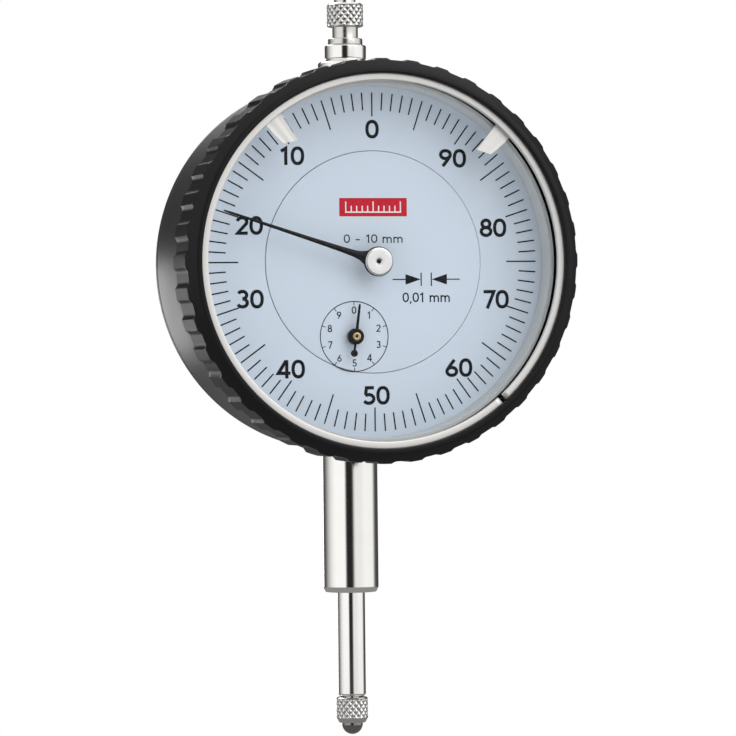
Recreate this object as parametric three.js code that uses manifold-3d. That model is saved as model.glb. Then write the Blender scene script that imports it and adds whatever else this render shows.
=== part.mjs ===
// Dial indicator: a 58 mm bezel, an 8 mm stem and 10 mm of spindle travel, in millimetres.
// The stem's axis is Z and its lower end is the origin. The dial faces -Y, with +X to its right.
// The spindle's rack turns a 16-tooth pinion and a 100-tooth wheel, and the wheel turns the
// 10-tooth centre pinion, so the main hand makes one turn and the small hand a tenth per mm.
import * as THREE from "three";
import { mergeVertices } from "three/addons/utils/BufferGeometryUtils.js";
import Module from "manifold-3d";

const wasm = await Module();
wasm.setup();

// Clearances.
const RUNNING = 0.05; // between a turning or sliding piece and its bearing, on the radius
const FIT = 0.1; // between two fixed pieces that seat in each other
const FREE = 0.3; // between pieces that pass each other

// Stem, spindle and their bushes, along Z.
const STEM_R = 4;
const STEM_BORE_R = 3;
const STEM_CHAMFER_R = 0.35;
const STEM_CHAMFER_H = 0.7;
const STEM_OUT = 20.4; // from the case to the stem's end
const STEM_IN = 3.6; // the stem's length behind the case's outer wall
const SPINDLE_R = 2;
const SPINDLE_OUT = 15.2; // from the stem's end to the contact point, at rest
const BUSH_LENGTH = 9;
const SLEEVE_FLANGE_H = 1.6;
const COLLAR_R = 3;
const COLLAR_H = 3.1;
const COLLAR_ROUND = 0.4;
const SLEEVE_IN = 4;

// Lifting knob and contact point.
const KNOB_R = 2.65;
const KNOB_H = 3.45;
const KNOB_ROUND = 0.8;
const KNOB_BOSS_R = 1.55;
const KNOB_BOSS_H = 1.2;
const NECK_R = 1.85;
const NECK_H = 1.7;
const STEP_R = 2.5;
const STEP_H = 1;
const STUD_R = 1.2;
const STUD_LENGTH = 3.2;
const POINT_R = 2.28;
const POINT_H = 3.7;
const POINT_NOSE_H = 0.65;
const BALL_R = 1.5;
const BALL_OUT = 1.7; // how far the ball stands out of the contact point

// Case, bezel and crystal: radii about the dial's axis.
const BEZEL_R = 28.5;
const SKIRT_WALL = 1.2;
const CASE_WALL = 1.2;
const CASE_R = BEZEL_R - SKIRT_WALL - FREE;
const CASE_BORE_R = CASE_R - CASE_WALL;
const LEDGE_WIDTH = 3;
const LEDGE_T = 1.5;
const COVER_T = 1.6;
const BOSS_R = 1.9;
const BACK_SCREW_R = 1;
const BACK_SCREW_HEAD_R = 1.8;
const BACK_SCREW_LENGTH = 5;

// Dial and movement: the stack forward from the spindle's axis, along -Y.
const PLATE_T = 1;
const MOVEMENT_GAP = 6.4; // between the two plates
const DIAL_GAP = 1.2; // from the front plate to the dial
const DIAL_T = 0.5;
const SEAM_R = 15.75; // where the fixed dial meets the turning scale ring
const WALL_RING_T = 0.6;
const WALL_RING_H = 3.8;
const REAR_PLATE_BACK = -(STEM_R + 0.4);
const REAR_PLATE_FRONT = REAR_PLATE_BACK - PLATE_T;
const FRONT_PLATE_BACK = REAR_PLATE_FRONT - MOVEMENT_GAP;
const FRONT_PLATE_FRONT = FRONT_PLATE_BACK - PLATE_T;
const DIAL_BACK = FRONT_PLATE_FRONT - DIAL_GAP;
const DIAL_Y = DIAL_BACK - DIAL_T;
const BACK_ROOM = 1.3; // from the stem to the back cover
const COVER_Y = STEM_R + BACK_ROOM;
const DIAL_Z = STEM_OUT + CASE_R;

// Bezel section, measured forward from the dial's face.
const CASE_RIM = 2.4;
const LEDGE_FRONT = 3.9; // the crystal rests here
const CRYSTAL_T = 1.4;
const MARKER_T = 0.2;
const SNAP_RING_T = 0.7;
const SNAP_RING_WIDTH = 1;
const BEZEL_FRONT = 7.2;
const BEZEL_BACK = 2.4; // behind the dial's face
const BEVEL_IN = 0.3; // the front edge stands in from the ribs
const BEVEL_R = 1.1;
const BEVEL_H = 1.4;
const LIP_WIDTH = 0.6;
const LEDGE_R = BEZEL_R - 2.8;
const POCKET_R = BEZEL_R - 2.2;
const RIBS = 40;
const RIB_LAND = 1.9;
const RIB_DEPTH = 0.35;
const RIB_FRONT = 5.1;
const WIRE_T = 0.6;
const WIRE_BACK = 0; // behind the dial's face
const WIRE_IN = 0.6; // how far it sits in the case
const WIRE_OUT = 0.1; // how far it stands past the skirt's bore

// Gear train. One module serves the rack and all five wheels.
const RACK_PITCH = 0.625;
const MODULE = RACK_PITCH / Math.PI;
const RACK_PINION_TEETH = 16;
const WHEEL_TEETH = 100;
const CENTRE_PINION_TEETH = 10;
const ADDENDUM = 0.75 * MODULE;
const DEDENDUM = 1.25 * MODULE;
const TOOTH_AT_TIP = 0.18; // of the pitch
const TOOTH_AT_ROOT = 0.5;
const TRAVEL = 10.3;
const RACK_PINION_R = (MODULE * RACK_PINION_TEETH) / 2;
const RACK_DEPTH = 0.64; // from the spindle's surface to the rack's pitch line
const RACK_X = -(SPINDLE_R - RACK_DEPTH);
const TRAIN_DISTANCE = (MODULE * (WHEEL_TEETH + CENTRE_PINION_TEETH)) / 2;
const RACK_ARBOR_X = RACK_X - RACK_PINION_R;
const RACK_ARBOR_Z = -Math.sqrt(TRAIN_DISTANCE ** 2 - RACK_ARBOR_X ** 2);
const TRAIN_ANGLE = Math.atan2(-RACK_ARBOR_Z, -RACK_ARBOR_X); // towards the take-up wheel
const WHEEL_T = 0.8;
const WHEEL_Y = (REAR_PLATE_FRONT + FRONT_PLATE_BACK) / 2 + 1;
const ARBOR_R = 0.5;
const PIVOT_R = 0.3;
const JEWEL_R = 0.95;
const HUB_R = 1.1;
const FRONT_PLATE_MARGIN = 3.85; // from the case's bore
const FRONT_PLATE_R = CASE_BORE_R - FRONT_PLATE_MARGIN;
const REAR_PLATE_R = CASE_BORE_R - FIT;
const PILLAR_R = 1.3;
const PILLAR_MARGIN = 3; // from the front plate's edge
const PILLAR_CIRCLE_R = FRONT_PLATE_R - PILLAR_MARGIN;
const PLATE_SCREW_R = 0.6;
const PLATE_SCREW_HEAD_R = 1.1;
const PLATE_SCREW_HEAD_H = 0.6;
const PLATE_SCREW_LENGTH = 2;
const DIAL_FOOT_R = 0.6;
const DIAL_FOOT_X = 9;

// Hands, measured forward from the dial's face.
const SMALL_HAND_Y = 1.15;
const SMALL_HAND_LENGTH = 4.4;
const SMALL_HAND_TAIL = 2.4;
const SMALL_CAP_R = 0.7;
const SMALL_CAP_H = 0.35;
const MAIN_HAND_Y = 2.7;
const MAIN_HAND_LENGTH = 23.5;
const HAND_T = 0.2;
const MAIN_CAP_R = 2;
const MAIN_CAP_H = 0.35;
const MAIN_HAND_ANGLE = 72; // degrees, counter-clockwise from the top
const SMALL_HAND_ANGLE = -7.2;

// Tolerance markers.
const MARKER_ANGLES = { marker_left: 38.5, marker_right: -44 };
const MARKER_REACH = 4.2; // inward from the snap ring's bore
const MARKER_OUTER_WIDTH = 2.7;
const MARKER_INNER_WIDTH = 2.2;

// Anti-rotation arm, its rail and the springs.
const ARM_Z = -2; // from the dial's centre
const ARM_H = 2.5;
const ARM_HALF_WIDTH = 1.3;
const ARM_HUB_R = 3.3;
const ARM_X = 10;
const RAIL_X = 9;
const RAIL_WALL = 1;
const RAIL_SLOT_HALF = ARM_HALF_WIDTH + FREE;
const SPRING_X = 6.2;
const SPRING_COIL_R = 1.4;
const SPRING_WIRE_R = 0.18;
const SPRING_TURNS = 11;
const SPRING_POST_R = 0.8;
const SPRING_LENGTH = 15;
const HAIRSPRING_INNER_R = 1.3;
const HAIRSPRING_OUTER_R = 4.8;
const HAIRSPRING_TURNS = 5;
const HAIRSPRING_T = 0.14;
const HAIRSPRING_H = 0.7;
const HAIRSPRING_STUD_R = 0.6;

const COARSE = 12; // segments round a small turned piece
const FINE = 24; // round the stem and spindle
const ROUND = 48; // round the case and bezel

const finish = (color, roughness, metalness) => ({ color, roughness, metalness });
const BLACK_PLASTIC = finish(0x19191b, 0.45, 0);
const BLACK_PAINT = finish(0x232427, 0.25, 0.1);
const STEEL = finish(0xc9c7c4, 0.22, 1);
const SPRING_STEEL = finish(0x9aa0a8, 0.35, 1);
const BRASS = finish(0xc9a54e, 0.3, 1);
const RUBY = finish(0xa8203c, 0.15, 0);
const DIAL_PAINT = finish(0xc8d4e0, 0.6, 0);
const GREY_PAINT = finish(0x919694, 0.6, 0);
const HAND_BLACK = finish(0x111113, 0.4, 0);
const CARBIDE = finish(0xb4b2ae, 0.12, 1);
const CLEAR = { ...finish(0xf2f6f8, 0.05, 0), transparent: true, opacity: 0.25 };

const group = new THREE.Group();

// Adds one named sub-part.
function addPart(name, geometry, look) {
  const mesh = new THREE.Mesh(geometry, new THREE.MeshStandardMaterial(look));
  mesh.name = name;
  group.add(mesh);
}

// A closed geometry as a solid that can be joined and cut.
function solidOf(geometry) {
  const bare = geometry.index ? geometry.toNonIndexed() : geometry.clone();
  bare.deleteAttribute("normal");
  bare.deleteAttribute("uv");
  const merged = mergeVertices(bare, 1e-4);
  const triVerts = new Uint32Array(merged.index.array);
  const vertProperties = merged.attributes.position.array;
  return new wasm.Manifold(new wasm.Mesh({ numProp: 3, vertProperties, triVerts }));
}

function geometryOf(solid) {
  const mesh = solid.getMesh();
  const geometry = new THREE.BufferGeometry();
  geometry.setAttribute("position", new THREE.BufferAttribute(mesh.vertProperties, 3));
  geometry.setIndex(new THREE.BufferAttribute(mesh.triVerts, 1));
  const flat = geometry.toNonIndexed();
  flat.computeVertexNormals();
  return flat;
}

const cut = (body, tools) =>
  geometryOf(tools.reduce((left, tool) => left.subtract(solidOf(tool)), solidOf(body)));
const join = (body, added) =>
  geometryOf(added.reduce((whole, piece) => whole.add(solidOf(piece)), solidOf(body)));

// Revolves a profile of [radius, height] about Y, whichever way round it is written.
function turned(profile, segments, start = 0, sweep = 2 * Math.PI) {
  const area = profile.reduce((sum, [r, h], i) => {
    const [nextR, nextH] = profile[(i + 1) % profile.length];
    return sum + r * nextH - nextR * h;
  }, 0);
  const ordered = area > 0 ? [...profile] : [...profile].reverse();
  const ring = ordered.every(([r]) => r > 0);
  if (ring) ordered.push(ordered[0]);
  const points = ordered.map(([r, h]) => new THREE.Vector2(r, h));
  return new THREE.LatheGeometry(points, segments, start, sweep);
}

const turnedAboutStem = (profile, segments) => turned(profile, segments).rotateX(Math.PI / 2);
const turnedAboutDial = (profile, segments, x = 0, z = 0) =>
  turned(profile, segments).translate(x, 0, DIAL_Z + z);

// A rectangle of two radii and two heights, as a ring's or a disc's profile.
const band = (inner, outer, low, high) => [
  [inner, low],
  [outer, low],
  [outer, high],
  [inner, high],
];
const rod = (r, from, to) => band(0, r, from, to);

// Extrudes an outline drawn in X and Z, about the dial's centre, from y = back to y = front.
function plate(shape, back, front) {
  const options = { depth: back - front, bevelEnabled: false, curveSegments: 12 };
  return new THREE.ExtrudeGeometry(shape, options).rotateX(Math.PI / 2).translate(0, back, DIAL_Z);
}

const polar = (r, angle) => [r * Math.cos(angle), r * Math.sin(angle)];
// A shape from its corners, counter-clockwise whichever way they are listed.
function outline(points) {
  const corners = points.map(([x, z]) => new THREE.Vector2(x, z));
  if (THREE.ShapeUtils.isClockWise(corners)) corners.reverse();
  return new THREE.Shape(corners);
}
const turnPoints = (points, angle) =>
  points.map(([x, z]) => [
    x * Math.cos(angle) - z * Math.sin(angle),
    x * Math.sin(angle) + z * Math.cos(angle),
  ]);

// A toothed wheel's outline about (x, z), with a tooth or a gap centred on the given angle.
function wheelShape(teeth, x, z, angle, gapThere = false) {
  const pitchR = (MODULE * teeth) / 2;
  const step = (2 * Math.PI) / teeth;
  const first = angle + (gapThere ? step / 2 : 0);
  const points = [];
  for (let i = 0; i < teeth; i++) {
    const middle = first + i * step;
    const corners = [
      [pitchR - DEDENDUM, -TOOTH_AT_ROOT / 2],
      [pitchR + ADDENDUM, -TOOTH_AT_TIP / 2],
      [pitchR + ADDENDUM, TOOTH_AT_TIP / 2],
      [pitchR - DEDENDUM, TOOTH_AT_ROOT / 2],
    ];
    for (const [r, share] of corners) {
      const [dx, dz] = polar(r, middle + share * step);
      points.push([x + dx, z + dz]);
    }
  }
  return outline(points);
}

function withHole(shape, x, z, r) {
  const corners = Array.from({ length: COARSE }, (_, i) => {
    const [dx, dz] = polar(r, (-2 * Math.PI * i) / COARSE);
    return new THREE.Vector2(x + dx, z + dz);
  });
  shape.holes.push(new THREE.Path(corners));
  return shape;
}

// ---- Case, cover and stem ----

const backScrewPlaces = [45, 135, 225, 315].map((angle) =>
  polar(CASE_BORE_R - BOSS_R, THREE.MathUtils.degToRad(angle)),
);
const mountScrewPlaces = [0, 120, 240].map((angle) =>
  polar(CASE_BORE_R - LEDGE_WIDTH / 2, THREE.MathUtils.degToRad(angle)),
);

function caseBody() {
  const rim = DIAL_Y - CASE_RIM;
  const grooveR = CASE_R - WIRE_IN - FIT;
  const grooveBack = DIAL_Y + WIRE_BACK + FIT;
  const grooveFront = grooveBack - WIRE_T - 2 * FIT;
  const shell = turnedAboutDial(
    [
      [CASE_BORE_R, rim],
      [CASE_R, rim],
      [CASE_R, grooveFront],
      [grooveR, grooveFront],
      [grooveR, grooveBack],
      [CASE_R, grooveBack],
      [CASE_R, COVER_Y],
      [CASE_BORE_R, COVER_Y],
      [CASE_BORE_R, REAR_PLATE_BACK + LEDGE_T],
      [CASE_BORE_R - LEDGE_WIDTH, REAR_PLATE_BACK + LEDGE_T],
      [CASE_BORE_R - LEDGE_WIDTH, REAR_PLATE_BACK],
      [CASE_BORE_R, REAR_PLATE_BACK],
    ],
    ROUND,
  );
  const bosses = backScrewPlaces.map(([x, z]) =>
    turnedAboutDial(rod(BOSS_R, REAR_PLATE_BACK + LEDGE_T / 2, COVER_Y), COARSE, x, z),
  );
  const backHoles = backScrewPlaces.map(([x, z]) =>
    turnedAboutDial(rod(BACK_SCREW_R + FIT, REAR_PLATE_BACK + LEDGE_T, COVER_Y + 1), COARSE, x, z),
  );
  const mountHoles = mountScrewPlaces.map(([x, z]) =>
    turnedAboutDial(
      rod(PLATE_SCREW_R + FIT, REAR_PLATE_BACK - 1, REAR_PLATE_BACK + LEDGE_T + 1),
      COARSE,
      x,
      z,
    ),
  );
  const stemHole = turnedAboutStem(rod(STEM_R + RUNNING, 0, DIAL_Z), FINE);
  const sleeveHole = turnedAboutStem(rod(STEM_R - 0.6 + RUNNING, DIAL_Z, DIAL_Z + BEZEL_R), FINE);
  return cut(join(shell, bosses), [...backHoles, ...mountHoles, stemHole, sleeveHole]);
}

// A countersunk screw's profile: the shank, then the cone of the head out to a flat face.
const countersunk = (shankR, headR, tip, face, gap = 0) => [
  [0, tip - gap],
  [shankR + gap, tip - gap],
  [shankR + gap, face - (headR - shankR)],
  [headR + gap, face],
  [0, face],
];

function backCover() {
  const disc = turnedAboutDial(rod(CASE_R, COVER_Y + 0.02, COVER_Y + COVER_T), ROUND);
  const face = COVER_Y + COVER_T;
  const holes = backScrewPlaces.map(([x, z]) => {
    const profile = countersunk(BACK_SCREW_R, BACK_SCREW_HEAD_R, COVER_Y - 1, face, FIT);
    profile.splice(4, 1, [BACK_SCREW_HEAD_R + FIT, face + 1], [0, face + 1]);
    return turnedAboutDial(profile, COARSE, x, z);
  });
  return cut(disc, holes);
}

function backScrew([x, z]) {
  const face = COVER_Y + COVER_T;
  const tip = face - BACK_SCREW_LENGTH;
  const screw = turnedAboutDial(
    countersunk(BACK_SCREW_R, BACK_SCREW_HEAD_R, tip, face),
    COARSE,
    x,
    z,
  );
  const slot = new THREE.BoxGeometry(2 * BACK_SCREW_HEAD_R + 1, 0.8, 0.5);
  return cut(screw, [slot.translate(x, face, DIAL_Z + z)]);
}

const stem = () =>
  turnedAboutStem(
    [
      [STEM_BORE_R, 0],
      [STEM_R - STEM_CHAMFER_R, 0],
      [STEM_R, STEM_CHAMFER_H],
      [STEM_R, STEM_OUT + STEM_IN],
      [STEM_BORE_R, STEM_OUT + STEM_IN],
    ],
    FINE,
  );

const lowerBush = () =>
  turnedAboutStem(
    band(SPINDLE_R + RUNNING, STEM_BORE_R - RUNNING, FREE, FREE + BUSH_LENGTH),
    FINE,
  );

const caseTop = DIAL_Z + CASE_R;
const flangeTop = caseTop + SLEEVE_FLANGE_H;
const collarTop = flangeTop + COLLAR_H;
const sleeveBore = SPINDLE_R + 0.5;

function upperSleeve() {
  const round = COLLAR_ROUND;
  return turnedAboutStem(
    [
      [sleeveBore, caseTop - SLEEVE_IN],
      [STEM_R - 0.6, caseTop - SLEEVE_IN],
      [STEM_R - 0.6, caseTop + RUNNING],
      [STEM_R, caseTop + RUNNING],
      [STEM_R, flangeTop - 0.2],
      [STEM_R - 0.2, flangeTop],
      [COLLAR_R - round, flangeTop],
      [COLLAR_R, flangeTop + round],
      [COLLAR_R, collarTop - 0.1],
      [COLLAR_R - 0.1, collarTop],
      [sleeveBore, collarTop],
    ],
    FINE,
  );
}

const upperBush = () =>
  turnedAboutStem(
    band(SPINDLE_R + RUNNING, sleeveBore - RUNNING, collarTop - BUSH_LENGTH, collarTop - FREE),
    FINE,
  );

addPart("case_body", caseBody(), BLACK_PAINT);
addPart("back_cover", backCover(), BLACK_PAINT);
backScrewPlaces.forEach((place, i) => addPart(`back_screw_${i + 1}`, backScrew(place), STEEL));
addPart("stem", stem(), STEEL);
addPart("lower_bush", lowerBush(), BRASS);
addPart("upper_sleeve", upperSleeve(), STEEL);
addPart("upper_bush", upperBush(), BRASS);

// ---- Bezel, crystal and markers ----

const forward = (distance) => DIAL_Y - distance;

const snapFront = LEDGE_FRONT + CRYSTAL_T + MARKER_T + 4 * RUNNING + SNAP_RING_T;
const crystalFront = LEDGE_FRONT + RUNNING + CRYSTAL_T;
const snapOuterR = POCKET_R + FIT;
const snapBoreR = snapOuterR - SNAP_RING_WIDTH;

function bezelRing() {
  const frontR = BEZEL_R - BEVEL_IN;
  const skirtR = BEZEL_R - SKIRT_WALL;
  const wireGrooveR = skirtR + WIRE_OUT + FIT;
  const wireBack = DIAL_Y + WIRE_BACK + 2 * FIT;
  const wireFront = wireBack - WIRE_T - 4 * FIT;
  const snapGrooveR = POCKET_R + 3 * FIT;
  const ring = turnedAboutDial(
    [
      [BEZEL_R, forward(-BEZEL_BACK)],
      [BEZEL_R, forward(RIB_FRONT + 0.2)],
      [frontR, forward(RIB_FRONT + 0.2 + BEVEL_IN)],
      [frontR, forward(BEZEL_FRONT - BEVEL_H)],
      [frontR - BEVEL_R, forward(BEZEL_FRONT)],
      [frontR - BEVEL_R - LIP_WIDTH, forward(BEZEL_FRONT)],
      [POCKET_R, forward(BEZEL_FRONT - 0.3)],
      [POCKET_R, forward(snapFront + RUNNING)],
      [snapGrooveR, forward(snapFront + RUNNING)],
      [snapGrooveR, forward(snapFront - SNAP_RING_T - RUNNING)],
      [POCKET_R, forward(snapFront - SNAP_RING_T - RUNNING)],
      [POCKET_R, forward(LEDGE_FRONT)],
      [LEDGE_R, forward(LEDGE_FRONT)],
      [LEDGE_R, forward(CASE_RIM + FREE)],
      [skirtR, forward(CASE_RIM + FREE)],
      [skirtR, wireFront],
      [wireGrooveR, wireFront],
      [wireGrooveR, wireBack],
      [skirtR, wireBack],
      [skirtR, forward(-BEZEL_BACK)],
    ],
    ROUND,
  );
  const pitch = (2 * Math.PI * BEZEL_R) / RIBS;
  const length = RIB_FRONT + BEZEL_BACK;
  const pockets = Array.from({ length: RIBS }, (_, i) => {
    const pocket = new THREE.BoxGeometry(2 * RIB_DEPTH, length + 1, pitch - RIB_LAND);
    pocket.translate(BEZEL_R, forward(RIB_FRONT) + (length + 1) / 2, 0);
    return pocket.rotateY((2 * Math.PI * (i + 0.5)) / RIBS).translate(0, 0, DIAL_Z);
  });
  return cut(ring, pockets);
}

// An open ring: an extruded outline of two arcs that leaves a gap at the given angle.
function openRing(innerR, outerR, back, front, gapAngle, gapWidth) {
  const half = gapWidth / (innerR + outerR);
  const from = gapAngle + half;
  const to = gapAngle + 2 * Math.PI - half;
  const arc = (r, start, end) =>
    Array.from({ length: ROUND + 1 }, (_, i) => polar(r, start + ((end - start) * i) / ROUND));
  return plate(outline([...arc(outerR, from, to), ...arc(innerR, to, from)]), back, front);
}

const SNAP_GAP_ANGLE = THREE.MathUtils.degToRad(90 - 139);
const SNAP_GAP = 0.8;

const snapRing = () =>
  openRing(
    snapBoreR,
    snapOuterR,
    forward(snapFront - SNAP_RING_T),
    forward(snapFront),
    SNAP_GAP_ANGLE,
    SNAP_GAP,
  );

const crystal = () =>
  turnedAboutDial(rod(POCKET_R - FIT, forward(crystalFront), forward(LEDGE_FRONT + RUNNING)), ROUND);

const wallRing = () =>
  turnedAboutDial(
    band(
      LEDGE_R - 2 * RUNNING - WALL_RING_T,
      LEDGE_R - 2 * RUNNING,
      forward(WALL_RING_H),
      forward(RUNNING),
    ),
    ROUND,
  );

const scaleRing = () =>
  turnedAboutDial(band(SEAM_R + RUNNING, LEDGE_R - FREE, DIAL_Y, DIAL_BACK), ROUND);

const bezelWire = () =>
  openRing(
    CASE_R - WIRE_IN,
    BEZEL_R - SKIRT_WALL + WIRE_OUT,
    DIAL_Y + WIRE_BACK,
    DIAL_Y + WIRE_BACK - WIRE_T,
    -Math.PI / 3,
    6,
  );

// A tapered tab that slides round between the crystal and the snap ring.
function marker(degreesFromTop) {
  const tip = snapBoreR - MARKER_REACH;
  const foot = POCKET_R - FIT - 0.3;
  const points = [
    [-MARKER_OUTER_WIDTH / 2, foot],
    [-MARKER_INNER_WIDTH / 2, tip + 0.2],
    [-MARKER_INNER_WIDTH / 2 + 0.2, tip],
    [MARKER_INNER_WIDTH / 2 - 0.2, tip],
    [MARKER_INNER_WIDTH / 2, tip + 0.2],
    [MARKER_OUTER_WIDTH / 2, foot],
  ];
  const turn = THREE.MathUtils.degToRad(degreesFromTop);
  const back = forward(crystalFront + RUNNING);
  return plate(outline(turnPoints(points, turn)), back, back - MARKER_T);
}

addPart("bezel_ring", bezelRing(), BLACK_PLASTIC);
addPart("bezel_wire", bezelWire(), SPRING_STEEL);
addPart("snap_ring", snapRing(), STEEL);
addPart("crystal", crystal(), CLEAR);
addPart("wall_ring", wallRing(), GREY_PAINT);
addPart("scale_ring", scaleRing(), DIAL_PAINT);
for (const [name, angle] of Object.entries(MARKER_ANGLES)) addPart(name, marker(angle), STEEL);

// ---- Plates, pillars, jewels and the fixed dial ----

const takeupX = -RACK_ARBOR_X;
const takeupZ = -RACK_ARBOR_Z;
const arborPlaces = {
  centre: [0, 0],
  rack: [RACK_ARBOR_X, RACK_ARBOR_Z],
  takeup: [takeupX, takeupZ],
};
const pillarPlaces = [90, -60, -120].map((offset) =>
  polar(PILLAR_CIRCLE_R, TRAIN_ANGLE + THREE.MathUtils.degToRad(offset)),
);
const footPlaces = [
  [DIAL_FOOT_X, 0],
  [-DIAL_FOOT_X, 0],
];
// Shaft radius in each plate: the hands' arbors run right through, the others end on pivots.
const frontShaftR = { centre: ARBOR_R, rack: ARBOR_R, takeup: PIVOT_R };
const rearShaftR = { centre: PIVOT_R, rack: ARBOR_R, takeup: PIVOT_R };

function movementPlate(radius, back, front, screwPlaces, footHoles) {
  const disc = turnedAboutDial(rod(radius, front, back), ROUND);
  const hole = (r, [x, z]) => turnedAboutDial(rod(r, front - 1, back + 1), COARSE, x, z);
  return cut(disc, [
    ...Object.values(arborPlaces).map((place) => hole(JEWEL_R + RUNNING, place)),
    ...screwPlaces.map((place) => hole(PLATE_SCREW_R + FIT, place)),
    ...footHoles.map((place) => hole(DIAL_FOOT_R + FIT, place)),
  ]);
}

function jewel([x, z], shaftR, back, front) {
  return turnedAboutDial(band(shaftR + RUNNING, JEWEL_R, front, back), COARSE, x, z);
}

function pillar([x, z]) {
  const back = REAR_PLATE_FRONT - 0.02;
  const front = FRONT_PLATE_BACK + 0.02;
  const depth = PLATE_SCREW_LENGTH + FREE;
  return turnedAboutDial(
    [
      [0, front + depth],
      [PLATE_SCREW_R + FIT, front + depth],
      [PLATE_SCREW_R + FIT, front],
      [PILLAR_R, front],
      [PILLAR_R, back],
      [0, back],
    ],
    COARSE,
    x,
    z,
  );
}

// A cheese-head screw that goes in from the front of a plate.
function plateScrew([x, z], seat) {
  const screw = turnedAboutDial(
    [
      [0, seat + PLATE_T + PLATE_SCREW_LENGTH - 0.2],
      [PLATE_SCREW_R, seat + PLATE_T + PLATE_SCREW_LENGTH - 0.2],
      [PLATE_SCREW_R, seat - 0.02],
      [PLATE_SCREW_HEAD_R, seat - 0.02],
      [PLATE_SCREW_HEAD_R, seat - PLATE_SCREW_HEAD_H],
      [0, seat - PLATE_SCREW_HEAD_H],
    ],
    COARSE,
    x,
    z,
  );
  const slot = new THREE.BoxGeometry(2 * PLATE_SCREW_HEAD_R + 1, 0.5, 0.3);
  return cut(screw, [slot.translate(x, seat - PLATE_SCREW_HEAD_H, DIAL_Z + z)]);
}

function innerDial() {
  const disc = turnedAboutDial(rod(SEAM_R - RUNNING, DIAL_Y, DIAL_BACK), ROUND);
  const feet = footPlaces.map(([x, z]) =>
    turnedAboutDial(rod(DIAL_FOOT_R, DIAL_BACK - DIAL_T / 2, FRONT_PLATE_BACK), COARSE, x, z),
  );
  const holes = [arborPlaces.centre, arborPlaces.rack].map(([x, z]) =>
    turnedAboutDial(rod(ARBOR_R + FREE, DIAL_Y - 1, DIAL_BACK + 1), COARSE, x, z),
  );
  return cut(join(disc, feet), holes);
}

addPart(
  "front_plate",
  movementPlate(FRONT_PLATE_R, FRONT_PLATE_BACK, FRONT_PLATE_FRONT, pillarPlaces, footPlaces),
  BRASS,
);
addPart(
  "rear_plate",
  movementPlate(REAR_PLATE_R, REAR_PLATE_BACK - 0.02, REAR_PLATE_FRONT, mountScrewPlaces, []),
  BRASS,
);
for (const [name, place] of Object.entries(arborPlaces)) {
  const front = jewel(place, frontShaftR[name], FRONT_PLATE_BACK, FRONT_PLATE_FRONT);
  const rear = jewel(place, rearShaftR[name], REAR_PLATE_BACK - 0.02, REAR_PLATE_FRONT);
  addPart(`${name}_jewel_front`, front, RUBY);
  addPart(`${name}_jewel_rear`, rear, RUBY);
}
pillarPlaces.forEach((place, i) => {
  addPart(`pillar_${i + 1}`, pillar(place), BRASS);
  addPart(`pillar_screw_${i + 1}`, plateScrew(place, FRONT_PLATE_FRONT), STEEL);
});
mountScrewPlaces.forEach((place, i) =>
  addPart(`mount_screw_${i + 1}`, plateScrew(place, REAR_PLATE_FRONT), STEEL),
);
addPart("inner_dial", innerDial(), DIAL_PAINT);

// ---- Arbors, wheels and hands ----

const wheelBack = WHEEL_Y + WHEEL_T / 2;
const wheelFront = WHEEL_Y - WHEEL_T / 2;
const shoulder = 0.3; // end play at each plate
const towardsCentre = TRAIN_ANGLE + Math.PI;

// The rack pinion overhangs behind the rear plate, level with the spindle's rack.
function rackArbor() {
  const [x, z] = arborPlaces.rack;
  const halfWidth = SPINDLE_R - 0.4;
  const shaft = turnedAboutDial(rod(ARBOR_R, forward(SMALL_HAND_Y + HAND_T), halfWidth), COARSE, x, z);
  const pinion = plate(wheelShape(RACK_PINION_TEETH, x, z, 0, true), halfWidth, -halfWidth);
  const collar = turnedAboutDial(
    rod(HUB_R, FRONT_PLATE_BACK + shoulder, wheelFront - FREE),
    COARSE,
    x,
    z,
  );
  return join(shaft, [pinion, collar]);
}

function centreArbor() {
  const teethFront = wheelFront - 1;
  const teethBack = wheelBack + 1;
  const shaft = turnedAboutDial(
    [
      [0, forward(MAIN_HAND_Y + HAND_T)],
      [ARBOR_R, forward(MAIN_HAND_Y + HAND_T)],
      [ARBOR_R, REAR_PLATE_FRONT - shoulder],
      [PIVOT_R, REAR_PLATE_FRONT - shoulder],
      [PIVOT_R, REAR_PLATE_BACK],
      [0, REAR_PLATE_BACK],
    ],
    COARSE,
  );
  const pinion = plate(
    wheelShape(CENTRE_PINION_TEETH, 0, 0, TRAIN_ANGLE, true),
    teethBack,
    teethFront,
  );
  return join(shaft, [pinion]);
}

function takeupArbor() {
  const [x, z] = arborPlaces.takeup;
  return turnedAboutDial(
    [
      [0, FRONT_PLATE_FRONT],
      [PIVOT_R, FRONT_PLATE_FRONT],
      [PIVOT_R, FRONT_PLATE_BACK + shoulder],
      [ARBOR_R, FRONT_PLATE_BACK + shoulder],
      [ARBOR_R, REAR_PLATE_FRONT - shoulder],
      [PIVOT_R, REAR_PLATE_FRONT - shoulder],
      [PIVOT_R, REAR_PLATE_BACK],
      [0, REAR_PLATE_BACK],
    ],
    COARSE,
    x,
    z,
  );
}

function wheel([x, z], toothAngle) {
  const shape = wheelShape(WHEEL_TEETH, x, z, toothAngle);
  return plate(withHole(shape, x, z, ARBOR_R + RUNNING), wheelBack, wheelFront);
}

// A hand's outline, pointing up from its arbor, turned into place.
const handPlate = (points, degrees, [x, z], front) => {
  const turnedHand = turnPoints(points, THREE.MathUtils.degToRad(degrees));
  const placed = turnedHand.map(([px, pz]) => [x + px, z + pz]);
  return plate(withHole(outline(placed), x, z, ARBOR_R + RUNNING), front + HAND_T, front);
};

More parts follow.
